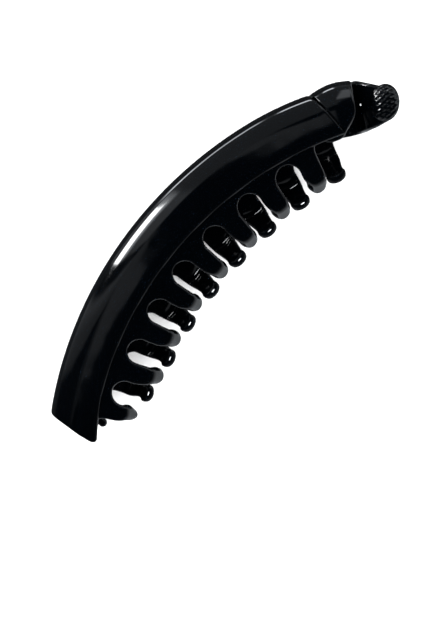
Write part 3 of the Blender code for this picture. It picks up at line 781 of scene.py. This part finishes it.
def bent(teeth, index, hand, flat, offset):
    """Points of the straightened tooth bent to their place: flat is (across, radius), offset
    is how far above the sheet's middle. The path runs nearly level, falling by the slope
    inside the strip, then turns down through an arc up to the lean and goes straight on; the
    offset is along the path's normal. The sheet thickens on one of its sides only. Beside the
    middle line the bend starts earlier, so the end is round from above, like a fingertip. The
    first tooth leans sideways by its slant."""
    bend, lean = teeth["bend"], teeth["lean"]
    growth = half_thickness(teeth, index, flat[..., 1]) - STRIP_HALF
    offset = offset + teeth["thickens"] * growth
    share = np.abs(flat[..., 0]) / half_width(teeth, index, hand, flat[..., 1])
    bend_from = tooth_run(teeth, index)[0] + set_back(teeth["round"][int(hand > 0)], share)
    gone = bend_from - flat[..., 1]
    turn = np.clip(gone / bend, 0.0, lean)
    level = np.maximum(-gone, 0.0)
    on = np.maximum(gone - bend * lean, 0.0)
    radius = bend_from + level - (bend + offset) * np.sin(turn) - on * np.cos(lean)
    height = STRIP_LEVEL - bend * (1.0 - np.cos(turn)) - on * np.sin(lean)
    sloping = np.maximum(np.hypot(flat[..., 0], flat[..., 1]), bend_from)
    sag = teeth["slope"] * np.maximum(STRIP_INNER - sloping, 0.0)
    slant = teeth["first_slant"] if index == 0 else 0.0
    across = flat[..., 0] - slant * np.maximum(STUB_RADIUS - flat[..., 1], 0.0)
    placed = turned(np.stack([across, radius], -1), -tooth_angle(teeth, index))
    return raised(placed, height + offset * np.cos(turn) - sag)


def half_cell_grids(teeth, index, hand):
    """Top, bottom and outer wall of a half cell, and its end wall where the strip ends: the
    half thickness follows a quarter ellipse from the rim."""
    edge, skeleton, rim, arc_columns = half_cell(teeth, index, hand)
    across = skeleton - edge
    length = np.linalg.norm(across, axis=1)[:, None]
    rim = np.minimum(rim[:, None], length * RIM_LENGTH_SHARE)
    rest = rim + (length - rim) * np.linspace(0.0, 1.0, 6)[1:]**1.3
    distance = np.concatenate([rim * rim_rows(1.0, 8), rest], 1)
    flat = edge[:, None] + across[:, None] * (distance / length)[..., None]
    offset = half_thickness(teeth, index, flat[..., 1]) * rim_share(distance, rim)
    top = bent(teeth, index, hand, flat, offset)
    bottom = bent(teeth, index, hand, flat, -offset)
    grids = [top, bottom, np.stack([top[-arc_columns:, -1], bottom[-arc_columns:, -1]])]
    if (index, hand) in ((0, -1), (TOOTH_COUNT - 1, 1)):
        grids.append(np.stack([top[-1], bottom[-1]]))
    return grids


def mark_grid(teeth, index, across, radius, offset, half_sizes):
    """A small mark on a tooth: an ellipsoid about a flat place and an offset, half sunk in,
    laid out flat and bent with the tooth."""
    pole, east, north = ball(13, 25)
    flat = np.stack([across + half_sizes[0] * pole, radius + half_sizes[1] * east], -1)
    return bent(teeth, index, 1, flat, offset + half_sizes[2] * north)


def ring_turned(profile):
    """A closed profile of (radius, y) turned about the hinge's line: x and height follow the
    sine and cosine of the turn."""
    turn = np.linspace(0.0, 2 * np.pi, RING_STEPS)
    radius, y = np.asarray(profile, float).T[..., None]
    x = HINGE_X + radius * np.sin(turn)
    return np.stack([x, np.broadcast_to(y, x.shape), radius * np.cos(turn)], -1)


def knuckle_grids(span):
    """A hinge knuckle: a ring with rounded edges, and the web that carries it as a rounded
    upright block from inside the ring up into the strip. The web's outline is a circle whose
    cosine and sine are raised to a low power, which makes it nearly a rectangle."""
    start, end = span
    turn = np.linspace(0.0, np.pi / 2, 6)
    outer = KNUCKLE_RADIUS - KNUCKLE_ROUND * (1.0 - np.cos(turn))
    shoulder = end - KNUCKLE_ROUND * (1.0 - np.sin(turn))
    lower = start + end - shoulder
    ring = ring_turned(np.concatenate([
        [(PIN_HOLE_RADIUS, start)],
        np.stack([outer[::-1], lower[::-1]], -1),
        np.stack([outer, shoulder], -1),
        [(PIN_HOLE_RADIUS, end), (PIN_HOLE_RADIUS, start)],
    ]))
    turn = np.linspace(0.0, 2 * np.pi, RING_STEPS)
    outline = np.stack([np.cos(turn), np.sin(turn)], -1)
    outline = np.sign(outline) * np.abs(outline)**WEB_POWER
    outline = outline * (WEB_HALF_WIDTH, (end - start) / 2 - WEB_INSET)
    middle = np.array([HINGE_X, (start + end) / 2])
    web = [
        raised(middle + share * outline, np.full(RING_STEPS, height))
        for share, height in (
            (0.0, WEB_FOOT), (1.0, WEB_FOOT), (1.0, STRIP_LEVEL), (0.0, STRIP_LEVEL)
        )
    ]
    return [ring, np.stack(web)]


def pin_grid():
    """The hinge pin: a domed end in the front, a straight side, a rounded flat end behind."""
    turn = np.linspace(0.0, np.pi / 2, 12)
    dome_y = PIN_START_Y + PIN_DOME * (1.0 - np.cos(turn))
    end_radius = PIN_RADIUS - PIN_END_ROUND * (1.0 - np.cos(turn))
    end_y = PIN_END_Y - PIN_END_ROUND * (1.0 - np.sin(turn))
    return ring_turned(np.concatenate([
        np.stack([PIN_RADIUS * np.sin(turn), dome_y], -1),
        np.stack([end_radius, end_y], -1),
        [(0.0, PIN_END_Y)],
    ]))


# --- Tip past the seam -----------------------------------------------------------------------


def arm_top(points):
    """Height of the tip's outer side over plan points: quarter ellipse near the spine, level,
    then a rounded fall at the tooth edge. Past the fold it falls by a slope times a softened
    distance: half of d plus the root of d squared and a bit."""
    x, y = points[..., 0], points[..., 1]
    pull = spine_draw(np.arctan2(x, y)) / (SPINE_RADIUS - COVER_LOW_RADIUS)
    radius = (np.hypot(x, y) - pull * COVER_LOW_RADIUS) / (1.0 - pull)
    reach = np.clip((radius - SPINE_RADIUS) / CORNER_WIDTH + 1.0, 0.0, 1.0)
    top = CORNER_START + (COVER_TOP - CORNER_START) * np.sqrt(1.0 - reach**2)
    low, high = np.array(TIP_FOLD)
    along = unit(high - low)
    past = (x - low[0]) * along[1] - (y - low[1]) * along[0]
    top = top - TIP_FOLD_SLOPE * (past + np.sqrt(past**2 + TIP_FOLD_SOFT**2)) / 2
    from_edge = np.maximum(radius - COVER_LOW_RADIUS, 0.0)
    return top - edge_drop(from_edge, EDGE_ROUND_WIDTH, EDGE_ROUND_DROP)


def around(values, reach, rounds):
    """Values round a closed loop, each replaced by the mean of itself and reach neighbours on
    both sides, a few times over."""
    for _ in range(rounds):
        shifted = [np.roll(values, step, 0) for step in range(-reach, reach + 1)]
        values = np.mean(shifted, 0)
    return values


def tip_outline():
    """Closed plan outline of the tip, evenly spaced: end wall, spine arc and seam line with
    soft corners; and the rounding wanted at each point: next to none on the spine arc,
    little on the seam and full on the end wall."""
    spine = SPINE_RADIUS - DRAW_DEPTH
    low = np.array([seam_x(TIP_SEAM_LOW) + SEAM_GAP, TIP_SEAM_LOW])
    seam_end = seam_angle(spine) + SEAM_GAP / SEAM_MIDDLE_RADIUS
    turn = np.linspace(TIP_LAST_ANGLE, seam_end, 40)
    arc = plan(SPINE_RADIUS - spine_draw(turn), turn)
    end_wall = softened(np.concatenate([[low], TIP_CORNERS, arc[:2]]), 4)
    loop = spaced(np.concatenate([end_wall, arc[2:], [low]]), TIP_POINTS + 1)[:-1]
    loop = around(loop, 2, 2)
    from_seam = loop[:, 0] - seam_x(loop[:, 1]) - SEAM_GAP
    rounding = np.where(from_seam < TIP_NEAR, TIP_SEAM_ROUND, TIP_ROUND)
    on_spine = np.hypot(*loop.T) > spine - TIP_NEAR
    return loop, around(np.where(on_spine, TIP_SPINE_ROUND, rounding), 5, 2)


def tip_grids():
    """The closed tip: a profile carried round the outline, from the roof's middle out over
    the rounded edge, down the wall, under its foot, up the inside and along the inner roof.
    All steps inwards go straight to the middle, so that no two of them cross; a step is
    lengthened by one over the cosine of its angle to the outline's normal."""
    outline, rounding = tip_outline()
    middle = np.array(TIP_MIDDLE)
    tangent = unit(np.roll(outline, -1, 0) - np.roll(outline, 1, 0))
    reach = np.linalg.norm(middle - outline, axis=1)
    spoke = unit(middle - outline)
    facing = np.abs(spoke[:, 1] * tangent[:, 0] - spoke[:, 0] * tangent[:, 1])
    facing = around(np.maximum(facing, TIP_LEAST_FACING), 3, 2)[:, None]

    turn = np.linspace(0.0, np.pi / 2, 10)
    fillet = np.maximum(rounding, TIP_LEAST_FILLET)[:, None]
    inset = fillet * (1.0 - np.cos(turn)) / facing
    rounded = outline[:, None] + spoke[:, None] * inset[..., None]
    rounded_height = arm_top(rounded) - rounding[:, None] * (1.0 - np.sin(turn))
    shrink = np.linspace(0.0, 1.0, 28)[:, None]**1.4
    roof = rounded[:, -1:] + (middle - rounded[:, -1:]) * shrink

    rim_height = rounded_height[:, :1]
    wall_height = rim_height + (FOOT - rim_height) * np.linspace(0.0, 1.0, 8)[1:]
    wall = np.broadcast_to(outline[:, None], wall_height.shape + (2,))

    hollow = spaced(softened([*TIP_HOLLOW, TIP_HOLLOW[0]], 2), HOLLOW_POINTS)[:-1] - middle
    hollow_turn = np.arctan2(hollow[:, 1], hollow[:, 0])
    order = np.argsort(hollow_turn)
    inner_reach = np.interp(
        np.arctan2(-spoke[:, 1], -spoke[:, 0]), hollow_turn[order], np.hypot(*hollow.T)[order],
        period=2 * np.pi,
    )
    inner = middle - spoke * np.minimum(inner_reach, reach - TIP_LEAST_WALL)[:, None]
    inner = middle + (inner - middle)[:, None] * np.array([1.0, 1.0, 0.5, 0.0])[:, None]
    inner_height = np.broadcast_to([FOOT, TIP_ROOF, TIP_ROOF, TIP_ROOF], inner.shape[:2])

    places = np.concatenate([roof[:, ::-1], rounded[:, ::-1][:, 1:], wall, inner], 1)
    heights = np.concatenate([
        arm_top(roof)[:, ::-1], rounded_height[:, ::-1][:, 1:], wall_height, inner_height
    ], 1)
    grid = raised(places, heights)
    return [np.concatenate([grid, grid[:1]])]


# --- Tongue and knob -------------------------------------------------------------------------


def smooth_stations(stations, count):
    """Stations joined by smooth cubic curves: each stretch follows its two end values and
    the slopes between their neighbours."""
    stations = np.asarray(stations, float)
    run = run_along(stations[:, :2])
    slope = np.gradient(stations, run, axis=0)
    at = np.linspace(0.0, run[-1], count)
    left = np.clip(np.searchsorted(run, at, "right") - 1, 0, len(run) - 2)
    span = (run[left + 1] - run[left])[:, None]
    t = (at - run[left])[:, None] / span
    value = (2 * t**3 - 3 * t**2 + 1) * stations[left] + (3 * t**2 - 2 * t**3) * stations[left + 1]
    bend = (t**3 - 2 * t**2 + t) * slope[left] + (t**3 - t**2) * slope[left + 1]
    return value + bend * span


def tongue_frame(angle=TONGUE_ANGLE):
    """Directions as rows: forward along the tongue's path, outward across it, and up."""
    return np.array([
        (np.cos(angle), -np.sin(angle), 0.0), (np.sin(angle), np.cos(angle), 0.0), (0.0, 0.0, 1.0)
    ])


def tongue_grids():
    """The springy tongue: a sheet along a smooth path of (along, height), as wide as its low
    and high radius say, with rims rounded in quarter ellipses."""
    forward, outward, up = tongue_frame()
    path = smooth_stations(TONGUE_STATIONS, TONGUE_STEPS)
    along, height, low, high, thickness = path.T[..., None]
    step = unit(np.gradient(path[:, :2], axis=0))
    normal = up * step[:, :1] - forward * step[:, 1:]
    width = high - low
    near = rim_rows(TONGUE_RIM, 9)
    across = np.concatenate([
        np.broadcast_to(near, (TONGUE_STEPS, len(near))),
        TONGUE_RIM + (width - 2 * TONGUE_RIM) * np.linspace(0.0, 1.0, 20)[1:-1],
        width - near[::-1],
    ], 1)
    half = thickness / 2 * rim_share(np.minimum(across, width - across), TONGUE_RIM)
    middle = (forward * along + up * height)[:, None] + outward * (low + across)[..., None]
    return skin(middle, normal[:, None] * half[..., None])


def nib_grid():
    """The small round nib on the tongue's inner face: a sphere, half sunk in."""
    pole, east, north = ball(17, 33)
    return np.array(NIB_PLACE) @ tongue_frame() + NIB_RADIUS * np.stack([east, north, pole], -1)


def knob_grids(ridge_depth):
    """The thumb knob: an ellipsoid, its surface lowered by the ridge depth times half of one
    less a cosine of y, so that the ridges run along x; a slower cosine of x and y makes them
    into beads, and they fade out towards the knob's sides and underside."""
    pole, east, up = ball(150, 241)
    point = np.stack([east, pole, up], -1)
    axes = tongue_frame(TONGUE_ANGLE - KNOB_TURN)
    placed = np.array(KNOB_PLACE) @ tongue_frame() + point * KNOB_HALF_SIZES @ axes
    outer = unit(point / KNOB_HALF_SIZES) @ axes
    x, y = placed[..., 0], placed[..., 1]
    fade = np.clip((up - RIDGE_FADE_START) / RIDGE_FADE_RUN, 0.0, 1.0)
    wave = np.cos(2 * np.pi * y / RIDGE_PITCH)
    bead = np.cos(2 * np.pi * (x + BEAD_SLANT * y) / BEAD_PITCH)
    fade = fade * (1.0 - BEAD_SHARE + BEAD_SHARE * bead)
    return [placed + outer * (ridge_depth * (wave - 1.0) / 2 * fade)[..., None]]


# --- Finish ----------------------------------------------------------------------------------


def toned(colour, share):
    """A colour made darker or paler by a share."""
    return [channel * share for channel in colour[:3]] + [1.0]


def set_sockets(node, values):
    """Put values into a node's input sockets, each found by its name or number."""
    for socket, value in values.items():
        node.inputs[socket].default_value = value


def clouded(name, deep, pale, cloud, shift):
    """A material whose colour is a cloud of noise between a deep and a pale tone. Returns it
    with its shader and a function that adds more noise, all at places moved by a shift."""
    material = bpy.data.materials.new(name)
    material.use_nodes = True
    nodes, links = material.node_tree.nodes, material.node_tree.links
    place = nodes.new("ShaderNodeTexCoord")
    moved = nodes.new("ShaderNodeMapping")
    set_sockets(moved, {"Location": shift})
    links.new(place.outputs["Object"], moved.inputs["Vector"])

    def noise(scale, detail):
        node = nodes.new("ShaderNodeTexNoise")
        set_sockets(node, {"Scale": scale, "Detail": detail})
        links.new(moved.outputs["Vector"], node.inputs["Vector"])
        return node.outputs["Fac"]

    colour = nodes.new("ShaderNodeMix")
    colour.data_type = "RGBA"
    set_sockets(colour, {MIX_FIRST: deep, MIX_SECOND: pale})
    links.new(noise(*cloud), colour.inputs[MIX_SHARE])
    shader = nodes["Principled BSDF"]
    links.new(colour.outputs[MIX_RESULT], shader.inputs["Base Color"])
    return material, shader, noise


def glossy_plastic(name, colour, roughness, seed):
    """Glossy moulded plastic: a faint cloud in its colour, gloss that varies a little, soft
    mould waves and very fine rub marks in its bump."""
    deep, pale = (toned(colour, share) for share in CLOUD_TONES)
    shift = [seed * step for step in SEED_STEP]
    material, shader, noise = clouded(name, deep, pale, CLOUD_NOISE, shift)
    nodes, links = material.node_tree.nodes, material.node_tree.links
    gloss = nodes.new("ShaderNodeMapRange")
    low, high = (roughness * share for share in GLOSS_SHARES)
    set_sockets(gloss, {"From Min": 0.3, "From Max": 0.7, "To Min": low, "To Max": high})
    links.new(noise(*GLOSS_NOISE), gloss.inputs["Value"])
    links.new(gloss.outputs["Result"], shader.inputs["Roughness"])

    bumps = []
    for scale, detail, strength, depth in BUMPS:
        bump = nodes.new("ShaderNodeBump")
        set_sockets(bump, {"Strength": strength, "Distance": depth})
        links.new(noise(scale, detail), bump.inputs["Height"])
        if bumps:
            links.new(bumps[-1].outputs["Normal"], bump.inputs["Normal"])
        bumps.append(bump)
    links.new(bumps[-1].outputs["Normal"], shader.inputs["Normal"])
    set_sockets(shader, {"IOR": PLASTIC_IOR})
    return material


def floor_finish(colour):
    """Matt pale floor with a faint cloud in its tone."""
    deep = toned(colour, FLOOR_TONE)
    material, shader, _ = clouded("pale_floor", deep, colour, FLOOR_NOISE, (0.0, 0.0, 0.0))
    set_sockets(shader, {"Roughness": 0.9, "Specular IOR Level": 0.1})
    return material


# --- Operators -------------------------------------------------------------------------------


class CLIP_OT_covers(bpy.types.Operator):
    """Make the two glossy covers"""

    bl_idname = "clip.covers"
    bl_label = "Covers"

    def execute(self, context):
        finish = context.scene.clip_finish
        grids = cover_grids()
        for side, arm, seed in ((FRONT, "front", 1), (BACK, "back", 2)):
            plastic = glossy_plastic(
                f"{arm}_cover_plastic", finish.plastic, finish.roughness, seed
            )
            make_piece(f"{arm}_shell", grids, plastic, f"{arm}_arm", f"{arm}_cover", side)
        return {"FINISHED"}


class CLIP_OT_combs(bpy.types.Operator):
    """Make the two combs with their teeth, tips, knuckles, tongue and thumb knob"""

    bl_idname = "clip.combs"
    bl_label = "Combs"

    def execute(self, context):
        finish = context.scene.clip_finish
        for teeth, arm, spans, seed in (
            (FRONT_TEETH, "front", KNUCKLE_SPANS[1:2], 3),
            (BACK_TEETH, "back", KNUCKLE_SPANS[::2], 4),
        ):
            grids = []
            for index in range(TOOTH_COUNT):
                for hand in (-1, 1):
                    grids += half_cell_grids(teeth, index, hand)
            grids += tip_grids()
            for span in spans:
                grids += knuckle_grids(span)
            if teeth is BACK_TEETH:
                upright = tongue_grids() + knob_grids(finish.ridge_depth)
                grids += [grid * MIRROR for grid in upright]
            plastic = glossy_plastic(
                f"{arm}_comb_plastic", finish.plastic, finish.roughness, seed
            )
            make_piece(
                f"{arm}_comb_teeth", grids, plastic, f"{arm}_arm", f"{arm}_comb", teeth["side"]
            )
        return {"FINISHED"}


class CLIP_OT_marks(bpy.types.Operator):
    """Make the painted highlights of the back comb: pale ribs, marks on the teeth's ends and the
    nib
    """

    bl_idname = "clip.marks"
    bl_label = "Painted highlights"

    def execute(self, context):
        finish = context.scene.clip_finish
        grids = []
        for index in RIB_TEETH:
            offset = -half_thickness(BACK_TEETH, index, RIB_RADIUS)
            grids.append(mark_grid(
                BACK_TEETH, index, RIB_ACROSS, RIB_RADIUS, offset, RIB_HALF_SIZES
            ))
        for index in MARKED_ENDS:
            _, _, radius = tooth_run(BACK_TEETH, index)
            grids.append(mark_grid(
                BACK_TEETH, index, END_MARK_ACROSS, radius, END_MARK_OFFSET, END_MARK_HALF_SIZES
            ))
        grids.append(nib_grid() * MIRROR)
        # The pale colour of the ribs, the end marks and the nib is a painted highlight.
        painted_glint_colour = glossy_plastic("painted_highlight_plastic", finish.painted_glint_colour, finish.roughness, 6)
        make_piece("back_comb_painted_highlights", grids, painted_glint_colour, "back_arm", "back_comb", BACK)
        return {"FINISHED"}


class CLIP_OT_pin(bpy.types.Operator):
    """Make the hinge pin"""

    bl_idname = "clip.pin"
    bl_label = "Hinge pin"

    def execute(self, context):
        finish = context.scene.clip_finish
        plastic = glossy_plastic("pin_plastic", finish.plastic, finish.roughness, 5)
        make_piece("pin", [pin_grid()], plastic, "back_arm", "hinge_pin")
        return {"FINISHED"}


def soft_light(name, direction, distance, width, height, radiance, in_gloss):
    """A flat soft lamp that faces the clip from a direction: its power is the radiance times
    pi times its area. in_gloss says whether the gloss mirrors it."""
    lamp = bpy.data.lights.new(name, "AREA")
    lamp.shape = "RECTANGLE"
    lamp.size = width
    lamp.size_y = height
    lamp.energy = radiance * np.pi * width * height
    made = bpy.data.objects.new(name, lamp)
    place = Vector(direction).normalized() * distance
    made.location = place
    made.rotation_euler = (-place).to_track_quat("-Z", "Y").to_euler()
    made.visible_glossy = in_gloss
    bpy.context.scene.collection.objects.link(made)


def cove_grid():
    """The floor and the pale wall round it: rings about the middle, flat out to the cove,
    then up through a quarter circle, then upright."""
    turn = np.linspace(0.0, np.pi / 2, 12)[1:]
    wall = COVE_START + COVE_BEND
    radius = np.concatenate([[0.0, COVE_START], COVE_START + COVE_BEND * np.sin(turn), [wall]])
    height = np.concatenate([[0.0, 0.0], COVE_BEND * (1.0 - np.cos(turn)), [COVE_TOP]])
    around_it = np.linspace(0.0, 2 * np.pi, 97)
    flat = plan(radius[:, None], np.pi / 2 - around_it)
    return raised(flat, height[:, None] * np.ones_like(around_it))


def studio_surroundings():
    """What the gloss mirrors besides the window, by direction: a base level, plus the walls,
    each a level by its turn from straight back times its masks, plus the overhead panels with
    a dark gap between them, the pale table in front and what lies below."""
    world = bpy.data.worlds.new("studio")
    world.use_nodes = True
    nodes, links = world.node_tree.nodes, world.node_tree.links
    place = nodes.new("ShaderNodeTexCoord")
    split = nodes.new("ShaderNodeSeparateXYZ")
    links.new(place.outputs["Generated"], split.inputs[0])

    def mapped(source, start, end, low, high, kind):
        node = nodes.new("ShaderNodeMapRange")
        node.interpolation_type = kind
        set_sockets(node, {"From Min": start, "From Max": end, "To Min": low, "To Max": high})
        links.new(source, node.inputs["Value"])
        return node.outputs["Result"]

    def mask(axis, start, end, low=0.0, high=1.0):
        return mapped(split.outputs[axis], start, end, low, high, "SMOOTHSTEP")

    def product(masks, *sources):
        return joined("MULTIPLY", *sources, *(mask(*values) for values in masks))

    def joined(operation, first, *others):
        for other in others:
            node = nodes.new("ShaderNodeMath")
            node.operation = operation
            links.new(first, node.inputs[0])
            links.new(other, node.inputs[1])
            first = node.outputs[0]
        return first

    turn = joined("ARCTAN2", split.outputs[X], split.outputs[Y])
    turn = mapped(turn, -TURN_REACH, TURN_REACH, 0.0, 1.0, "LINEAR")

    def by_turn(stops):
        node = nodes.new("ShaderNodeValToRGB")
        elements = node.color_ramp.elements
        for degrees, level in stops:
            element = elements.new(0.5 + np.radians(degrees) / (2 * TURN_REACH))
            element.color = (level, level, level, 1.0)
        elements.remove(elements[-1])
        elements.remove(elements[0])
        links.new(turn, node.inputs[0])
        return node.outputs[0]

    parts = [product(masks, by_turn(stops)) for stops, masks in WALLS]
    beside = joined("MAXIMUM", *(mask(*values) for values in OVERHEAD_GAP))
    parts += [product(OVERHEAD, beside), product(TABLE), product(BELOW)]
    base = nodes.new("ShaderNodeMath")
    base.inputs[1].default_value = BASE_LEVEL
    links.new(joined("ADD", *parts), base.inputs[0])
    shade = nodes["Background"]
    set_sockets(shade, {"Color": SURROUNDINGS_TINT})
    links.new(base.outputs[0], shade.inputs["Strength"])
    return world


class CLIP_OT_stage(bpy.types.Operator):
    """Make the floor, the light and the camera"""

    bl_idname = "clip.stage"
    bl_label = "Stage"

    def execute(self, context):
        scene = context.scene
        settings = scene.clip_stage
        scene.view_settings.view_transform = "Standard"
        mesh = bpy.data.meshes.new("floor")
        grid = cove_grid()
        faces = grid_faces(*grid.shape[:2], 0)
        mesh.from_pydata(grid.reshape(-1, 3).tolist(), [], faces.tolist())
        mesh.shade_smooth()
        mesh.materials.append(floor_finish(settings.floor))
        floor = bpy.data.objects.new("floor", mesh)
        floor.visible_glossy = False
        scene.collection.objects.link(floor)
        scene.world = studio_surroundings()
        for lamp in LAMPS:
            soft_light(*lamp)

        view = Vector(CAMERA_VIEW).normalized()
        up = Vector(CAMERA_UP)
        up = (up - view * up.dot(view)).normalized()
        turn = Matrix((view.cross(up), up, -view)).transposed()
        lens = bpy.data.cameras.new("camera")
        lens.lens = settings.lens
        lens.sensor_width = CAMERA_SENSOR
        lens.clip_start = CAMERA_NEAR
        camera = bpy.data.objects.new("camera", lens)
        camera.matrix_world = Matrix.Translation(Vector(CAMERA_PLACE) * MM) @ turn.to_4x4()
        scene.collection.objects.link(camera)
        scene.camera = camera
        return {"FINISHED"}


class CLIP_PT_panel(bpy.types.Panel):
    """Buttons and values of the hair clip"""

    bl_idname = "CLIP_PT_panel"
    bl_label = "Hair clip"
    bl_space_type = "VIEW_3D"
    bl_region_type = "UI"
    bl_category = "Hair clip"

    def draw(self, context):
        layout = self.layout
        for group in (context.scene.clip_finish, context.scene.clip_stage):
            for field in group.__annotations__:
                layout.prop(group, field)
        for operator in OPERATORS:
            layout.operator(operator.bl_idname)


OPERATORS = (CLIP_OT_covers, CLIP_OT_combs, CLIP_OT_marks, CLIP_OT_pin, CLIP_OT_stage)
CLASSES = (ClipFinish, ClipStage) + OPERATORS + (CLIP_PT_panel,)


def register():
    for item in CLASSES:
        bpy.utils.register_class(item)
    bpy.types.Scene.clip_finish = PointerProperty(type=ClipFinish)
    bpy.types.Scene.clip_stage = PointerProperty(type=ClipStage)


def unregister():
    del bpy.types.Scene.clip_stage
    del bpy.types.Scene.clip_finish
    for item in reversed(CLASSES):
        bpy.utils.unregister_class(item)


def main():
    """Build every piece and the stage."""
    register()
    bpy.ops.clip.covers()
    bpy.ops.clip.combs()
    bpy.ops.clip.marks()
    bpy.ops.clip.pin()
    bpy.ops.clip.stage()


if __name__ == "__main__":
    main()
